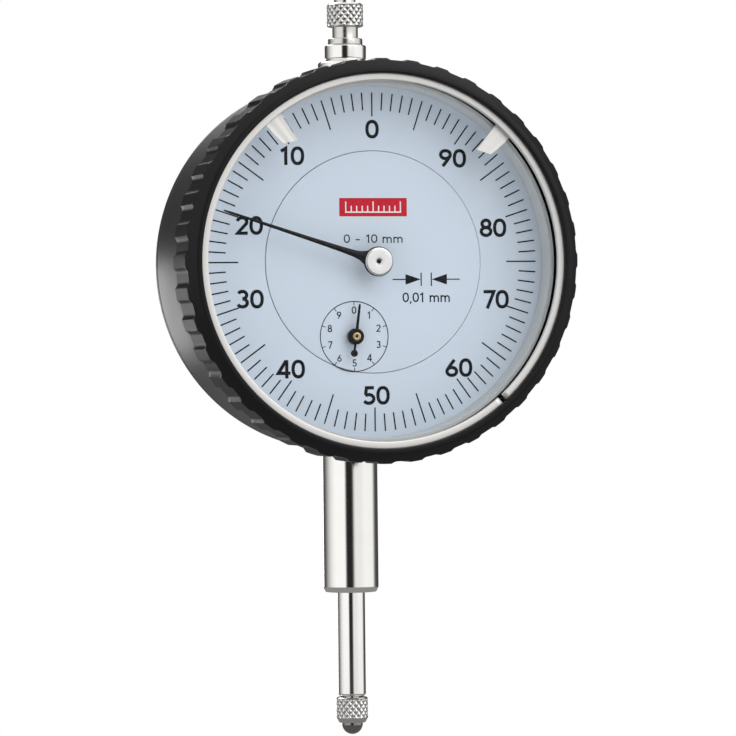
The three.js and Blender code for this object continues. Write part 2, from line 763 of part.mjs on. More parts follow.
const handHub = (r, [x, z], back, front) =>
  turnedAboutDial(band(ARBOR_R + RUNNING, r, front, back), COARSE, x, z);

function mainHand() {
  const points = [
    [-1.2, 0],
    [-0.7, 2.2],
    [-0.15, MAIN_HAND_LENGTH],
    [0.15, MAIN_HAND_LENGTH],
    [0.7, 2.2],
    [1.2, 0],
    [0.7, -1],
    [-0.7, -1],
  ];
  const front = forward(MAIN_HAND_Y + HAND_T);
  const blade = handPlate(points, MAIN_HAND_ANGLE, arborPlaces.centre, front);
  const boss = handHub(HUB_R, arborPlaces.centre, forward(SMALL_HAND_Y), front + HAND_T / 2);
  return join(blade, [boss]);
}

function mainHandCap() {
  const back = forward(MAIN_HAND_Y + HAND_T + RUNNING);
  return turnedAboutDial(rod(MAIN_CAP_R, back - MAIN_CAP_H, back), COARSE);
}

function smallHand() {
  const points = [
    [-0.35, 0],
    [-0.12, SMALL_HAND_LENGTH],
    [0.12, SMALL_HAND_LENGTH],
    [0.35, 0],
    [0.9, -0.2],
    [0.3, -0.9],
    [0.3, -SMALL_HAND_TAIL],
    [-0.3, -SMALL_HAND_TAIL],
    [-0.3, -0.9],
    [-0.9, -0.2],
  ];
  const front = forward(SMALL_HAND_Y + HAND_T);
  const shape = outline(
    turnPoints(points, THREE.MathUtils.degToRad(SMALL_HAND_ANGLE)).map(([x, z]) => [
      RACK_ARBOR_X + x,
      RACK_ARBOR_Z + z,
    ]),
  );
  const blade = plate(shape, front + HAND_T, front);
  const boss = turnedAboutDial(
    rod(HUB_R - FIT, front + HAND_T / 2, forward(0.4)),
    COARSE,
    ...arborPlaces.rack,
  );
  const socket = turnedAboutDial(
    rod(ARBOR_R + RUNNING, forward(SMALL_HAND_Y + HAND_T) - 1, DIAL_BACK),
    COARSE,
    ...arborPlaces.rack,
  );
  return cut(join(blade, [boss]), [socket]);
}

function smallHandCap() {
  const back = forward(SMALL_HAND_Y + HAND_T + RUNNING);
  return turnedAboutDial(rod(SMALL_CAP_R, back - SMALL_CAP_H, back), COARSE, ...arborPlaces.rack);
}

function springCollet() {
  const back = FRONT_PLATE_BACK + shoulder + HAIRSPRING_H + FIT;
  const [x, z] = arborPlaces.takeup;
  const outer = HAIRSPRING_INNER_R - FREE;
  return turnedAboutDial(
    band(ARBOR_R + RUNNING, outer, FRONT_PLATE_BACK + shoulder + RUNNING, back),
    COARSE,
    x,
    z,
  );
}

// A flat spiral strip round the take-up arbor, ending at its stud.
const HAIRSPRING_END = -Math.PI / 2;
function hairspring() {
  const steps = 14 * HAIRSPRING_TURNS;
  const sweep = 2 * Math.PI * HAIRSPRING_TURNS;
  const side = (offset) =>
    Array.from({ length: steps + 1 }, (_, i) => {
      const share = i / steps;
      const r = HAIRSPRING_INNER_R + (HAIRSPRING_OUTER_R - HAIRSPRING_INNER_R) * share + offset;
      const [x, z] = polar(r, HAIRSPRING_END + sweep * (share - 1));
      return [takeupX + x, takeupZ + z];
    });
  const strip = outline([...side(HAIRSPRING_T), ...side(0).reverse()]);
  const front = FRONT_PLATE_BACK + shoulder + FIT;
  return plate(strip, front + HAIRSPRING_H, front);
}

function hairspringStud() {
  const r = HAIRSPRING_OUTER_R + HAIRSPRING_T + FIT + HAIRSPRING_STUD_R;
  const [x, z] = polar(r, HAIRSPRING_END);
  const back = FRONT_PLATE_BACK + shoulder + HAIRSPRING_H + 0.5;
  return turnedAboutDial(
    rod(HAIRSPRING_STUD_R, FRONT_PLATE_BACK + 0.02, back),
    COARSE,
    takeupX + x,
    takeupZ + z,
  );
}

addPart("rack_arbor", rackArbor(), STEEL);
addPart("rack_wheel", wheel(arborPlaces.rack, TRAIN_ANGLE), BRASS);
addPart("small_hand", smallHand(), HAND_BLACK);
addPart("small_hand_cap", smallHandCap(), BRASS);
addPart("centre_arbor", centreArbor(), STEEL);
addPart("main_hand", mainHand(), HAND_BLACK);
addPart("main_hand_cap", mainHandCap(), STEEL);
addPart("takeup_arbor", takeupArbor(), STEEL);
addPart("takeup_wheel", wheel(arborPlaces.takeup, towardsCentre), BRASS);
addPart("spring_collet", springCollet(), BRASS);
addPart("hairspring", hairspring(), SPRING_STEEL);
addPart("hairspring_stud", hairspringStud(), BRASS);

// ---- Spindle, its rack, arm and springs ----

const spindleTop = collarTop - FIT;
const studTop = collarTop + STUD_LENGTH;

// The zigzag that cuts the rack, one tooth of it centred level with the pinion.
function rackCutter() {
  const middle = DIAL_Z + RACK_ARBOR_Z;
  const below = Math.ceil((TRAVEL + 1.5) / RACK_PITCH);
  const above = 3;
  const outside = -SPINDLE_R - 1;
  const points = [[outside, middle - (below + 0.5) * RACK_PITCH]];
  for (let i = -below; i <= above; i++) {
    const z = middle + i * RACK_PITCH;
    points.push([RACK_X + DEDENDUM, z - (TOOTH_AT_ROOT / 2) * RACK_PITCH]);
    points.push([RACK_X - ADDENDUM, z - (TOOTH_AT_TIP / 2) * RACK_PITCH]);
    points.push([RACK_X - ADDENDUM, z + (TOOTH_AT_TIP / 2) * RACK_PITCH]);
    points.push([RACK_X + DEDENDUM, z + (TOOTH_AT_ROOT / 2) * RACK_PITCH]);
  }
  points.push([outside, middle + (above + 0.5) * RACK_PITCH]);
  return plate(outline(points), SPINDLE_R + 1, -SPINDLE_R - 1).translate(0, 0, -DIAL_Z);
}

function spindle() {
  const bottom = -SPINDLE_OUT;
  const body = turnedAboutStem(
    [
      [0, bottom + STUD_LENGTH + FREE],
      [STUD_R + RUNNING, bottom + STUD_LENGTH + FREE],
      [STUD_R + RUNNING, bottom],
      [SPINDLE_R - 0.5, bottom],
      [SPINDLE_R, bottom + 0.4],
      [SPINDLE_R, spindleTop],
      [STUD_R, spindleTop],
      [STUD_R, studTop],
      [0, studTop],
    ],
    FINE,
  );
  return cut(body, [rackCutter()]);
}

function liftingKnob() {
  const neckBottom = collarTop + STEP_H;
  const knobBottom = neckBottom + NECK_H;
  const knobTop = knobBottom + KNOB_H;
  return turnedAboutStem(
    [
      [0, studTop + FREE],
      [STUD_R + RUNNING, studTop + FREE],
      [STUD_R + RUNNING, collarTop + RUNNING],
      [STEP_R, collarTop + RUNNING],
      [STEP_R, neckBottom],
      [NECK_R, neckBottom],
      [NECK_R, knobBottom],
      [KNOB_R, knobBottom + 0.3],
      [KNOB_R, knobTop - KNOB_ROUND],
      [KNOB_R - 0.3 * KNOB_ROUND, knobTop - 0.3 * KNOB_ROUND],
      [KNOB_BOSS_R, knobTop],
      [KNOB_BOSS_R, knobTop + KNOB_BOSS_H - 0.3],
      [KNOB_BOSS_R - 0.3, knobTop + KNOB_BOSS_H],
      [0, knobTop + KNOB_BOSS_H],
    ],
    FINE,
  );
}

function contactPoint() {
  const top = -SPINDLE_OUT - RUNNING;
  const noseTop = top - POINT_H + POINT_NOSE_H;
  const bottom = top - POINT_H;
  const pocketR = BALL_R + RUNNING + FIT / 2;
  const pocketTop = bottom - BALL_OUT + 2 * BALL_R + FIT;
  return turnedAboutStem(
    [
      [0, top + STUD_LENGTH],
      [STUD_R, top + STUD_LENGTH],
      [STUD_R, top],
      [POINT_R - 0.35, top],
      [POINT_R, top - 0.35],
      [POINT_R, noseTop],
      [pocketR + 0.35, bottom],
      [pocketR, bottom],
      [pocketR, pocketTop],
      [0, pocketTop],
    ],
    FINE,
  );
}

function contactBall() {
  const bottom = -SPINDLE_OUT - RUNNING - POINT_H - BALL_OUT;
  return new THREE.SphereGeometry(BALL_R, COARSE, COARSE / 2).rotateX(Math.PI / 2).translate(
    0,
    0,
    bottom + BALL_R,
  );
}

// The arm is clamped on the spindle, and its end slides in the rail so that neither can turn.
function guideArm() {
  const middle = DIAL_Z + ARM_Z;
  const hub = turnedAboutStem(rod(ARM_HUB_R, middle - ARM_H / 2, middle + ARM_H / 2), FINE);
  const bar = new THREE.BoxGeometry(ARM_X, 2 * ARM_HALF_WIDTH, ARM_H - 0.4);
  const bore = turnedAboutStem(rod(SPINDLE_R + RUNNING, middle - ARM_H, middle + ARM_H), FINE);
  return cut(join(hub, [bar.translate(ARM_X / 2, 0, middle)]), [bore]);
}

// A channel open towards the spindle, with a foot against the rear plate.
function guideRail() {
  const slotEnd = ARM_X + FREE;
  const back = slotEnd + RAIL_WALL;
  const side = RAIL_SLOT_HALF + RAIL_WALL;
  const foot = REAR_PLATE_BACK + 0.02;
  const section = [
    [RAIL_X, foot],
    [back + 2, foot],
    [back + 2, foot + 1],
    [back, foot + 1],
    [back, side],
    [RAIL_X, side],
    [RAIL_X, RAIL_SLOT_HALF],
    [slotEnd, RAIL_SLOT_HALF],
    [slotEnd, -RAIL_SLOT_HALF],
    [RAIL_X, -RAIL_SLOT_HALF],
  ];
  const bottom = DIAL_Z + ARM_Z - ARM_H / 2 - 1;
  const length = TRAVEL + ARM_H + 2;
  const options = { depth: length, bevelEnabled: false };
  return new THREE.ExtrudeGeometry(outline(section), options).translate(0, 0, bottom);
}

const springTop = DIAL_Z + ARM_Z - ARM_H / 2 + 0.2 - FIT;
const springBottom = springTop - SPRING_LENGTH;

function springPost() {
  const z = springBottom - SPRING_WIRE_R - FIT - SPRING_POST_R;
  return turned(rod(SPRING_POST_R, REAR_PLATE_BACK + 0.02, SPINDLE_R), COARSE).translate(
    SPRING_X,
    0,
    z,
  );
}

class Coil extends THREE.Curve {
  getPoint(t, target = new THREE.Vector3()) {
    const angle = 2 * Math.PI * SPRING_TURNS * t;
    const [x, y] = polar(SPRING_COIL_R, angle);
    const low = springBottom + SPRING_WIRE_R;
    const high = springTop - SPRING_WIRE_R;
    return target.set(SPRING_X + x, y, low + (high - low) * t);
  }
}

function returnSpring() {
  const section = new THREE.Shape();
  section.absarc(0, 0, SPRING_WIRE_R, 0, 2 * Math.PI, false);
  return new THREE.ExtrudeGeometry(section, {
    steps: 8 * SPRING_TURNS,
    extrudePath: new Coil(),
    curveSegments: 2,
    bevelEnabled: false,
  });
}

addPart("spindle", spindle(), STEEL);
addPart("lifting_knob", liftingKnob(), STEEL);
addPart("contact_point", contactPoint(), STEEL);
addPart("contact_ball", contactBall(), CARBIDE);
addPart("guide_arm", guideArm(), BRASS);
addPart("guide_rail", guideRail(), BRASS);
addPart("spring_post", springPost(), STEEL);
addPart("return_spring", returnSpring(), SPRING_STEEL);

export default group;
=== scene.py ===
"""Dial indicator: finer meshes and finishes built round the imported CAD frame."""

import math

import bmesh
import bpy
import numpy as np
from mathutils import Matrix, Vector


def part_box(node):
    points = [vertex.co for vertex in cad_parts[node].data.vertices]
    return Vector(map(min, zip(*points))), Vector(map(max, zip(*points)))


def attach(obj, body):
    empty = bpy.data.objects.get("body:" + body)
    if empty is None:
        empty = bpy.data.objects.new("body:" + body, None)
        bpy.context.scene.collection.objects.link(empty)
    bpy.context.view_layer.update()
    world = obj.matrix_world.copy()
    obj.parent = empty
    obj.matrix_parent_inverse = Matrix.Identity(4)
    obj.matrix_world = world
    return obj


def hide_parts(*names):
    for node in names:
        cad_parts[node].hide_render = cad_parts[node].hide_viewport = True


bl_info = {
    "name": "Dial indicator",
    "version": (1, 0, 0),
    "blender": (4, 5, 0),
    "location": "3D View > Sidebar > Indicator",
    "description": "Builds a plunger dial indicator round its CAD frame",
    "category": "Object",
}

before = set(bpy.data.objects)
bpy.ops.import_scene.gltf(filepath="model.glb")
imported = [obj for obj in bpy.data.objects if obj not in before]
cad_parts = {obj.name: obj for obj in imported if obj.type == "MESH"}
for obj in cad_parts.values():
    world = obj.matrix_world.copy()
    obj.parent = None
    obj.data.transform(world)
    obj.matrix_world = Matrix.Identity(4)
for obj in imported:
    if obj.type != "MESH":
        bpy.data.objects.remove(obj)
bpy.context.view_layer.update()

MM = 0.001
WELD_GAP = 2e-7  # points nearer than this, in metres, are one
SHARP_ANGLE = 32.0  # edges that turn by more degrees stay crisp


# ---- Places and sizes from the frame, in millimetres ----


def box_mm(node):
    """The lowest and highest corners of a CAD node, in millimetres."""
    low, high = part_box(node)
    return np.array(low) / MM, np.array(high) / MM


def middle_mm(node):
    """The middle of a CAD node's box."""
    low, high = box_mm(node)
    return (low + high) / 2


def radius_mm(node):
    """Half the width of a round CAD node."""
    low, high = box_mm(node)
    return (high[0] - low[0]) / 2


DIAL_Z = middle_mm("scale_ring")[2]
DIAL_Y = box_mm("scale_ring")[0][1]
BEZEL_R = radius_mm("bezel_ring")
BEZEL_FRONT, BEZEL_BACK = box_mm("bezel_ring")[0][1], box_mm("bezel_ring")[1][1]
CASE_R = radius_mm("case_body")
STEM_R = radius_mm("stem")
SPINDLE_R = radius_mm("spindle")
SMALL_X = middle_mm("small_hand_cap")[0]
SMALL_Z = middle_mm("small_hand_cap")[2] - DIAL_Z
SEAM_R, SCALE_R = radius_mm("inner_dial"), radius_mm("scale_ring")
CASE_WALL = 1.2
FRONT_IN = 0.3  # the bezel's front edge stands in from its ribs by this
DIAL_PROUD = 0.12  # the fixed dial's face stands this far in front of the scale ring's
PRINT_SUNK = 0.02  # how far the print's back lies inside the dial


# ---- Settings a user would change ----


def linear(code):
    """An sRGB hex colour as linear red, green and blue."""
    channels = [int(code[i : i + 2], 16) / 255 for i in (1, 3, 5)]
    return tuple(c / 12.92 if c <= 0.04045 else ((c + 0.055) / 1.055) ** 2.4 for c in channels)


def length(name, description, millimetres):
    """A length setting, given in millimetres."""
    return bpy.props.FloatProperty(
        name=name, description=description, default=millimetres * MM, min=0.0, precision=5, unit="LENGTH"
    )


def colour(name, description, code):
    """A colour setting, given as an sRGB hex code."""
    return bpy.props.FloatVectorProperty(
        name=name,
        description=description,
        default=linear(code),
        size=3,
        min=0.0,
        max=1.0,
        subtype="COLOR",
    )


class IndicatorSizes(bpy.types.PropertyGroup):
    """Sizes of the details that the CAD frame leaves plain."""

    rib_count: bpy.props.IntProperty(
        name="Ribs", description="Grip ribs round the bezel", default=40, min=8, max=90
    )
    rib_land: length("Rib land", "Width of each rib's flat top", 1.9)
    rib_depth: length("Rib depth", "How far the pockets go in between ribs", 0.45)
    rib_front: length("Rib front", "Where the pockets stop, forward of the dial's face", 5.2)
    knurl_depth: length("Knurl depth", "Depth of the diamond knurling", 0.22)
    numeral_height: length("Numeral height", "Height of the scale's numerals", 2.62)
    numeral_stroke: length("Numeral stroke", "Stroke width of the scale's numerals", 0.48)
    tick_width: length("Tick width", "Width of the scale's lines", 0.2)
    ink_height: length("Ink height", "How far the print stands off the dial", 0.012)


class IndicatorColours(bpy.types.PropertyGroup):
    """Colours of the object's finishes."""

    bezel: colour("Bezel", "Moulded bezel", "#121214")
    case: colour("Case", "Lacquered case", "#17181B")
    dial: colour("Dial", "Enamelled dial", "#D0DAE6")
    wall: colour("Wall", "Painted inner wall", "#D8D8D6")
    ink: colour("Ink", "Printed scale", "#0A0E16")
    label: colour("Label", "Printed label", "#C4182F")
    steel: colour("Steel", "Polished steel", "#EFEDEA")


def mm_of(value):
    """A length property in millimetres."""
    return value / MM


# ---- Shapes worked out as arrays: each returns (points, quads) ----


def grid_quads(rows, columns, wrap_rows=False, wrap_columns=True):
    """Quads between neighbouring points of a grid, wrapping round where it closes on itself."""
    r, c = np.meshgrid(
        np.arange(rows if wrap_rows else rows - 1),
        np.arange(columns if wrap_columns else columns - 1),
        indexing="ij",
    )
    r_next, c_next = (r + 1) % rows, (c + 1) % columns
    corners = [r * columns + c, r * columns + c_next, r_next * columns + c_next, r_next * columns + c]
    return np.stack(corners, -1).reshape(-1, 4)


def joined(shapes):
    """Several shapes as one, with each one's quads moved past the points before it."""
    counts = np.cumsum([0] + [len(points) for points, _ in shapes[:-1]])
    points = np.concatenate([points for points, _ in shapes])
    quads = np.concatenate([quads + start for (_, quads), start in zip(shapes, counts)])
    return points, quads


def softened(corners, closed, steps=5):
    """A profile of (radius, height, rounding): each rounded corner becomes a quadratic curve that
    starts and ends the rounding's length away from it, along its two edges."""
    corners = [(*c, 0.0)[:3] for c in corners]
    count = len(corners)
    result = []
    for i, (r, h, rounding) in enumerate(corners):
        here = np.array([r, h])
        inside = closed or 0 < i < count - 1
        if rounding <= 0 or not inside:
            result.append(here[None])
            continue
        before = np.array(corners[i - 1][:2]) - here
        after = np.array(corners[(i + 1) % count][:2]) - here
        start = here + before * min(rounding / np.linalg.norm(before), 0.5)
        end = here + after * min(rounding / np.linalg.norm(after), 0.5)
        t = np.linspace(0, 1, steps + 1)[:, None]
        result.append((1 - t) ** 2 * start + 2 * t * (1 - t) * here + t**2 * end)
    return np.concatenate(result)


def about_dial(radius, height, angle, centre=(0.0, 0.0)):
    """Points at a radius and angle about the dial's axis, or a parallel one, with height along Y."""
    x = centre[0] + radius * np.cos(angle)
    z = DIAL_Z + centre[1] + radius * np.sin(angle)
    return np.stack(np.broadcast_arrays(x, height, z), -1)


def about_stem(radius, height, angle):
    """Points at a radius and angle about the stem's axis, with height along Z."""
    return np.stack(np.broadcast_arrays(radius * np.cos(angle), radius * np.sin(angle), height), -1)


def revolved(corners, segments, place, relief=None, **where):
    """A profile turned through a full circle. A profile that leaves the axis closes on itself.
    relief takes (angle, height, radius) and returns how far the surface goes in."""
    closed = min(c[0] for c in corners) > 1e-9
    profile = softened(corners, closed)
    radius, height = profile[:, :1], profile[:, 1:]
    angle = np.linspace(0, 2 * np.pi, segments, endpoint=False)[None]
    if relief:
        radius = radius - relief(angle, height, radius)
    points = place(radius, height, angle, **where)
    return points.reshape(-1, 3), grid_quads(len(profile), segments, wrap_rows=closed)


def plug(radius, first, last, rounding=0.0, last_rounding=0.0):
    """A disc's or a bar's profile: out from the axis at one end, and back to it at the other."""
    return [(0, first), (radius, first, rounding), (radius, last, last_rounding), (0, last)]


def dial_point(x, z, y):
    """Points from X and Z about the dial's centre and a depth."""
    return np.stack(np.broadcast_arrays(x, y, np.asarray(z) + DIAL_Z), -1)


def stroke(line, width, front, back, closed=False):
    """A flat band along a line of (x, z) points: four corners at each point, set off along the
    mitred normal, so that the width stays the same round every bend."""
    line = np.asarray(line, float)
    width = np.broadcast_to(np.asarray(width, float), len(line))
    if closed:
        before, after = np.roll(line, 1, 0), np.roll(line, -1, 0)
    else:
        before = np.vstack([2 * line[0] - line[1], line[:-1]])
        after = np.vstack([line[1:], 2 * line[-1] - line[-2]])
    into = line - before
    out = after - line
    into /= np.linalg.norm(into, axis=1)[:, None]
    out /= np.linalg.norm(out, axis=1)[:, None]
    normal = np.stack([-(into + out)[:, 1], (into + out)[:, 0]], -1)
    normal /= np.linalg.norm(normal, axis=1)[:, None]
    stretch = np.clip((normal * np.stack([-into[:, 1], into[:, 0]], -1)).sum(1), 0.45, 1)
    offset = normal * (width / 2 / stretch)[:, None]
    sides = [line + offset, line - offset]
    ring = [(sides[0], front), (sides[1], front), (sides[1], back), (sides[0], back)]
    points = np.stack([dial_point(s[:, 0], s[:, 1], y) for s, y in ring], 1)
    count = len(line)
    quads = grid_quads(count, 4, wrap_rows=closed)
    if not closed:
        last = 4 * (count - 1)
        caps = np.array([[3, 2, 1, 0], [last, last + 1, last + 2, last + 3]])
        quads = np.concatenate([quads, caps])
    return points.reshape(-1, 3), quads


def arc(x, z, radius_x, radius_z, start, end, steps=14, power=1.0):
    """Points on an ellipse, or on a squarer one where the power is under 1."""
    angle = np.radians(np.linspace(start, end, steps + 1))
    square = lambda v: np.sign(v) * np.abs(v) ** power
    return np.stack([x + radius_x * square(np.cos(angle)), z + radius_z * square(np.sin(angle))], -1)


# ---- Lettering: strokes in a box one unit high ----

SIX = [
    (arc(0.31, 0.30, 0.215, 0.215, 0, 345, 23), True),
    (np.array([[0.118, 0.40], [0.26, 0.66], [0.435, 0.93]]), False),
]
GLYPHS = {
    "0": (0.62, [(arc(0.31, 0.5, 0.225, 0.415, 0, 348.75, 31, 0.88), True)]),
    "1": (0.50, [(np.array([[0.09, 0.74], [0.30, 0.90], [0.30, 0.0]]), False)]),
    "2": (
        0.60,
        [(np.vstack([arc(0.30, 0.70, 0.205, 0.215, 172, -35), [[0.10, 0.085], [0.54, 0.085]]]), False)],
    ),
    "3": (
        0.60,
        [
            (arc(0.28, 0.715, 0.185, 0.20, 155, -90), False),
            (arc(0.28, 0.30, 0.21, 0.215, 90, -158), False),
        ],
    ),
    "4": (
        0.64,
        [
            (np.array([[0.45, 0.0], [0.45, 0.99]]), False),
            (np.array([[0.42, 0.95], [0.08, 0.28], [0.61, 0.28]]), False),
        ],
    ),
    "5": (
        0.60,
        [
            (np.array([[0.51, 0.915], [0.18, 0.915], [0.14, 0.52]]), False),
            (arc(0.28, 0.315, 0.225, 0.235, 132, -152), False),
        ],
    ),
    "6": (0.62, SIX),
    "7": (0.58, [(np.array([[0.06, 0.915], [0.52, 0.915], [0.22, 0.0]]), False)]),
    "8": (
        0.60,
        [
            (arc(0.30, 0.715, 0.175, 0.20, 0, 345, 23), True),
            (arc(0.30, 0.30, 0.215, 0.215, 0, 345, 23), True),
        ],
    ),
    "9": (0.62, [(np.array([0.62, 1.0]) - line, closed) for line, closed in SIX]),
    ",": (0.28, [(np.array([[0.17, 0.10], [0.08, -0.16]]), False)]),
    "m": (
        0.98,
        [
            (np.array([[0.14, 0.0], [0.14, 0.70]]), False),
            (np.vstack([arc(0.32, 0.44, 0.18, 0.19, 180, 0, 8), [[0.50, 0.0]]]), False),
            (np.vstack([arc(0.68, 0.44, 0.18, 0.19, 180, 0, 8), [[0.86, 0.0]]]), False),
        ],
    ),
    " ": (0.36, []),
    "-": (0.62, [(np.array([[0.12, 0.38], [0.50, 0.38]]), False)]),
}


def lettering(text, height, weight, x, z, front, back, breadth=1.0):
    """Text centred on (x, z): each glyph's lines scaled to the height and breadth, with their real
    stroke width."""
    scale = np.array([height * breadth, height])
    cursor = x - sum(GLYPHS[letter][0] for letter in text) * scale[0] / 2
    shapes = []
    for letter in text:
        advance, lines = GLYPHS[letter]
        for order, (line, closed) in enumerate(lines):
            placed = line * scale + [cursor, z - height / 2]
            shapes.append(stroke(placed, weight, front - order * 0.001, back, closed))
        cursor += advance * scale[0]
    return shapes


# ---- Meshes ----


def mended(mesh, close_ends=False):
    """Merges doubled points, closes open ends where asked, and turns the faces outward."""
    work = bmesh.new()
    work.from_mesh(mesh)
    bmesh.ops.remove_doubles(work, verts=work.verts, dist=WELD_GAP)
    if close_ends:
        bmesh.ops.holes_fill(work, edges=[e for e in work.edges if e.is_boundary])
    bmesh.ops.recalc_face_normals(work, faces=work.faces)
    work.to_mesh(mesh)
    work.free()


def mesh_piece(name, shape, finish, body, *replaces, sharp=SHARP_ANGLE):
    """A piece from points in millimetres and quads, in one finish: edges over the sharp angle stay
    crisp. It rides on a body, takes the finish's slot and stands for the CAD nodes it replaces."""
    points, quads = shape
    mesh = bpy.data.meshes.new(name)
    mesh.vertices.add(len(points))
    mesh.vertices.foreach_set("co", (points * MM).astype(np.float32).ravel())
    mesh.loops.add(4 * len(quads))
    mesh.loops.foreach_set("vertex_index", quads.astype(np.int32).ravel())
    mesh.polygons.add(len(quads))
    mesh.polygons.foreach_set("loop_start", np.arange(0, 4 * len(quads), 4, dtype=np.int32))
    mesh.update(calc_edges=True)
    mended(mesh)
    mesh.validate()
    mesh.shade_smooth()
    mesh.set_sharp_from_angle(angle=math.radians(sharp))
    mesh.materials.append(finishes.get(finish))
    piece = bpy.data.objects.new(name, mesh)
    bpy.context.scene.collection.objects.link(piece)
    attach(piece, body)
    if replaces:
        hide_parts(*replaces)
    return piece


def cut_by(piece, shapes):
    """Cuts shapes out of a piece and keeps the result as its own mesh."""
    cutters = []
    for points, quads in shapes:
        tool = bpy.data.meshes.new("cutter")
        tool.from_pydata((points * MM).tolist(), [], quads.tolist())
        mended(tool)
        cutter = bpy.data.objects.new("cutter", tool)
        bpy.context.scene.collection.objects.link(cutter)
        cutters.append(cutter)
        modifier = piece.modifiers.new("Cut", "BOOLEAN")
        modifier.operation = "DIFFERENCE"
        modifier.solver = "EXACT"
        modifier.object = cutter
    bpy.context.view_layer.update()
    evaluated = piece.evaluated_get(bpy.context.evaluated_depsgraph_get())
    result = bpy.data.meshes.new_from_object(evaluated)
    if len(result.polygons) < len(piece.data.polygons) // 4:
        raise RuntimeError(f"the cut emptied {piece.name}")
    piece.modifiers.clear()
    whole, piece.data = piece.data, result
    name = whole.name
    bpy.data.meshes.remove(whole)
    result.name = name
    result.shade_smooth()
    result.set_sharp_from_angle(angle=math.radians(SHARP_ANGLE))
    for cutter in cutters:
        bpy.data.meshes.remove(cutter.data)


# ---- Materials ----


def add_node(tree, kind, inputs=(), **settings):
    """Adds a node, sets its properties, and links or sets its inputs."""
    node = tree.nodes.new(kind)
    for key, value in settings.items():
        setattr(node, key, value)
    for socket, value in dict(inputs).items():
        if isinstance(value, bpy.types.NodeSocket):
            tree.links.new(value, node.inputs[socket])
        else:
            node.inputs[socket].default_value = value
    return node


def opaque(rgb):
    """A colour with full alpha."""
    return (*rgb, 1.0)


def new_material(name):
    """An empty node material with its output and its Object coordinates."""
    material = bpy.data.materials.new(name)
    material.use_nodes = True
    tree = material.node_tree
    tree.nodes.clear()
    output = add_node(tree, "ShaderNodeOutputMaterial")
    place = add_node(tree, "ShaderNodeTexCoord").outputs["Object"]
    return material, tree, output, place


def varied(tree, source, low, high):
    """Maps a 0 to 1 pattern onto a range."""
    return add_node(
        tree, "ShaderNodeMapRange", {"Value": source, "To Min": low, "To Max": high}
    ).outputs["Result"]


def grain(tree, place, size_mm, stretch=(1, 1, 1), detail=3.0):
    """Noise whose lumps are about size_mm across, drawn out along an axis by a stretch below 1."""
    mapped = add_node(tree, "ShaderNodeMapping", {"Vector": place, "Scale": stretch}).outputs[0]
    noise = add_node(
        tree, "ShaderNodeTexNoise", {"Vector": mapped, "Scale": 1 / (size_mm * MM), "Detail": detail}
    )
    return noise.outputs["Fac"]


def relief(tree, height, depth_mm):
    """A bump of a real depth."""
    return add_node(
        tree, "ShaderNodeBump", {"Height": height, "Distance": depth_mm * MM, "Strength": 1.0}
    ).outputs["Normal"]


def two_tone(tree, source, first, second):
    """A pattern between two colours. The first may be another node's colour."""
    linked = isinstance(first, bpy.types.NodeSocket)
    colours = {"Factor": source, 6: first if linked else opaque(first), 7: opaque(second)}
    return add_node(tree, "ShaderNodeMix", colours, data_type="RGBA").outputs[2]


def scaled(rgb, factor):
    """A colour made darker or lighter by a factor."""
    return tuple(min(1.0, c * factor) for c in rgb)


def principled(tree, output, inputs):
    """The material's one Principled shader, joined to its output."""
    shader = add_node(tree, "ShaderNodeBsdfPrincipled", inputs)
    tree.links.new(shader.outputs[0], output.inputs["Surface"])
    return shader


def moulded_abs(rgb):
    """Black ABS, spark-textured mould: a satin black whose fine grain breaks up the highlights.
    Its real grain is about 0.05 mm and is drawn coarser, so that it shows."""
    material, tree, output, place = new_material("ABS black moulded")
    fine = grain(tree, place, 0.12, detail=2.0)
    broad = grain(tree, place, 5.0)
    inputs = {
        "Base Color": two_tone(tree, broad, scaled(rgb, 0.85), scaled(rgb, 1.2)),
        "Roughness": varied(tree, fine, 0.30, 0.44),
        "IOR": 1.5,
        "Specular IOR Level": 0.17,
        "Normal": relief(tree, fine, 0.006),
    }
    principled(tree, output, inputs)
    return material


def case_lacquer(rgb):
    """Black stoving lacquer on die-cast metal: glossy, with a faint orange peel."""
    material, tree, output, place = new_material("Stoving lacquer black")
    peel = grain(tree, place, 0.9, detail=1.0)
    broad = grain(tree, place, 8.0)
    inputs = {
        "Base Color": two_tone(tree, broad, scaled(rgb, 0.9), scaled(rgb, 1.15)),
        "Roughness": varied(tree, broad, 0.30, 0.38),
        "IOR": 1.48,
        "Specular IOR Level": 1.0,
        "Normal": relief(tree, peel, 0.003),
    }
    principled(tree, output, inputs)
    return material


def ground_steel(name, rgb, low, high):
    """Centreless-ground and polished steel: a bright surface with hair lines round the bar."""
    material, tree, output, place = new_material(name)
    lines = grain(tree, place, 0.05, (0.06, 0.06, 1.0), detail=2.0)
    cloudy = grain(tree, place, 3.0)
    inputs = {
        "Base Color": two_tone(tree, cloudy, scaled(rgb, 0.93), rgb),
        "Metallic": 1.0,
        "Roughness": varied(tree, lines, low, high),
        "Normal": relief(tree, lines, 0.0012),
    }
    principled(tree, output, inputs)
    return material


def turned_metal(name, rgb, rough_low, rough_high, size_mm=0.2, depth_mm=0.004, darker=0.85):
    """Machined metal: fine tool marks as a small grain with a slight change of tone."""
    material, tree, output, place = new_material(name)
    marks = grain(tree, place, size_mm, detail=4.0)
    inputs = {
        "Base Color": two_tone(tree, marks, scaled(rgb, darker), rgb),
        "Metallic": 1.0,
        "Roughness": varied(tree, marks, rough_low, rough_high),
        "Normal": relief(tree, marks, depth_mm),
    }
    principled(tree, output, inputs)
    return material


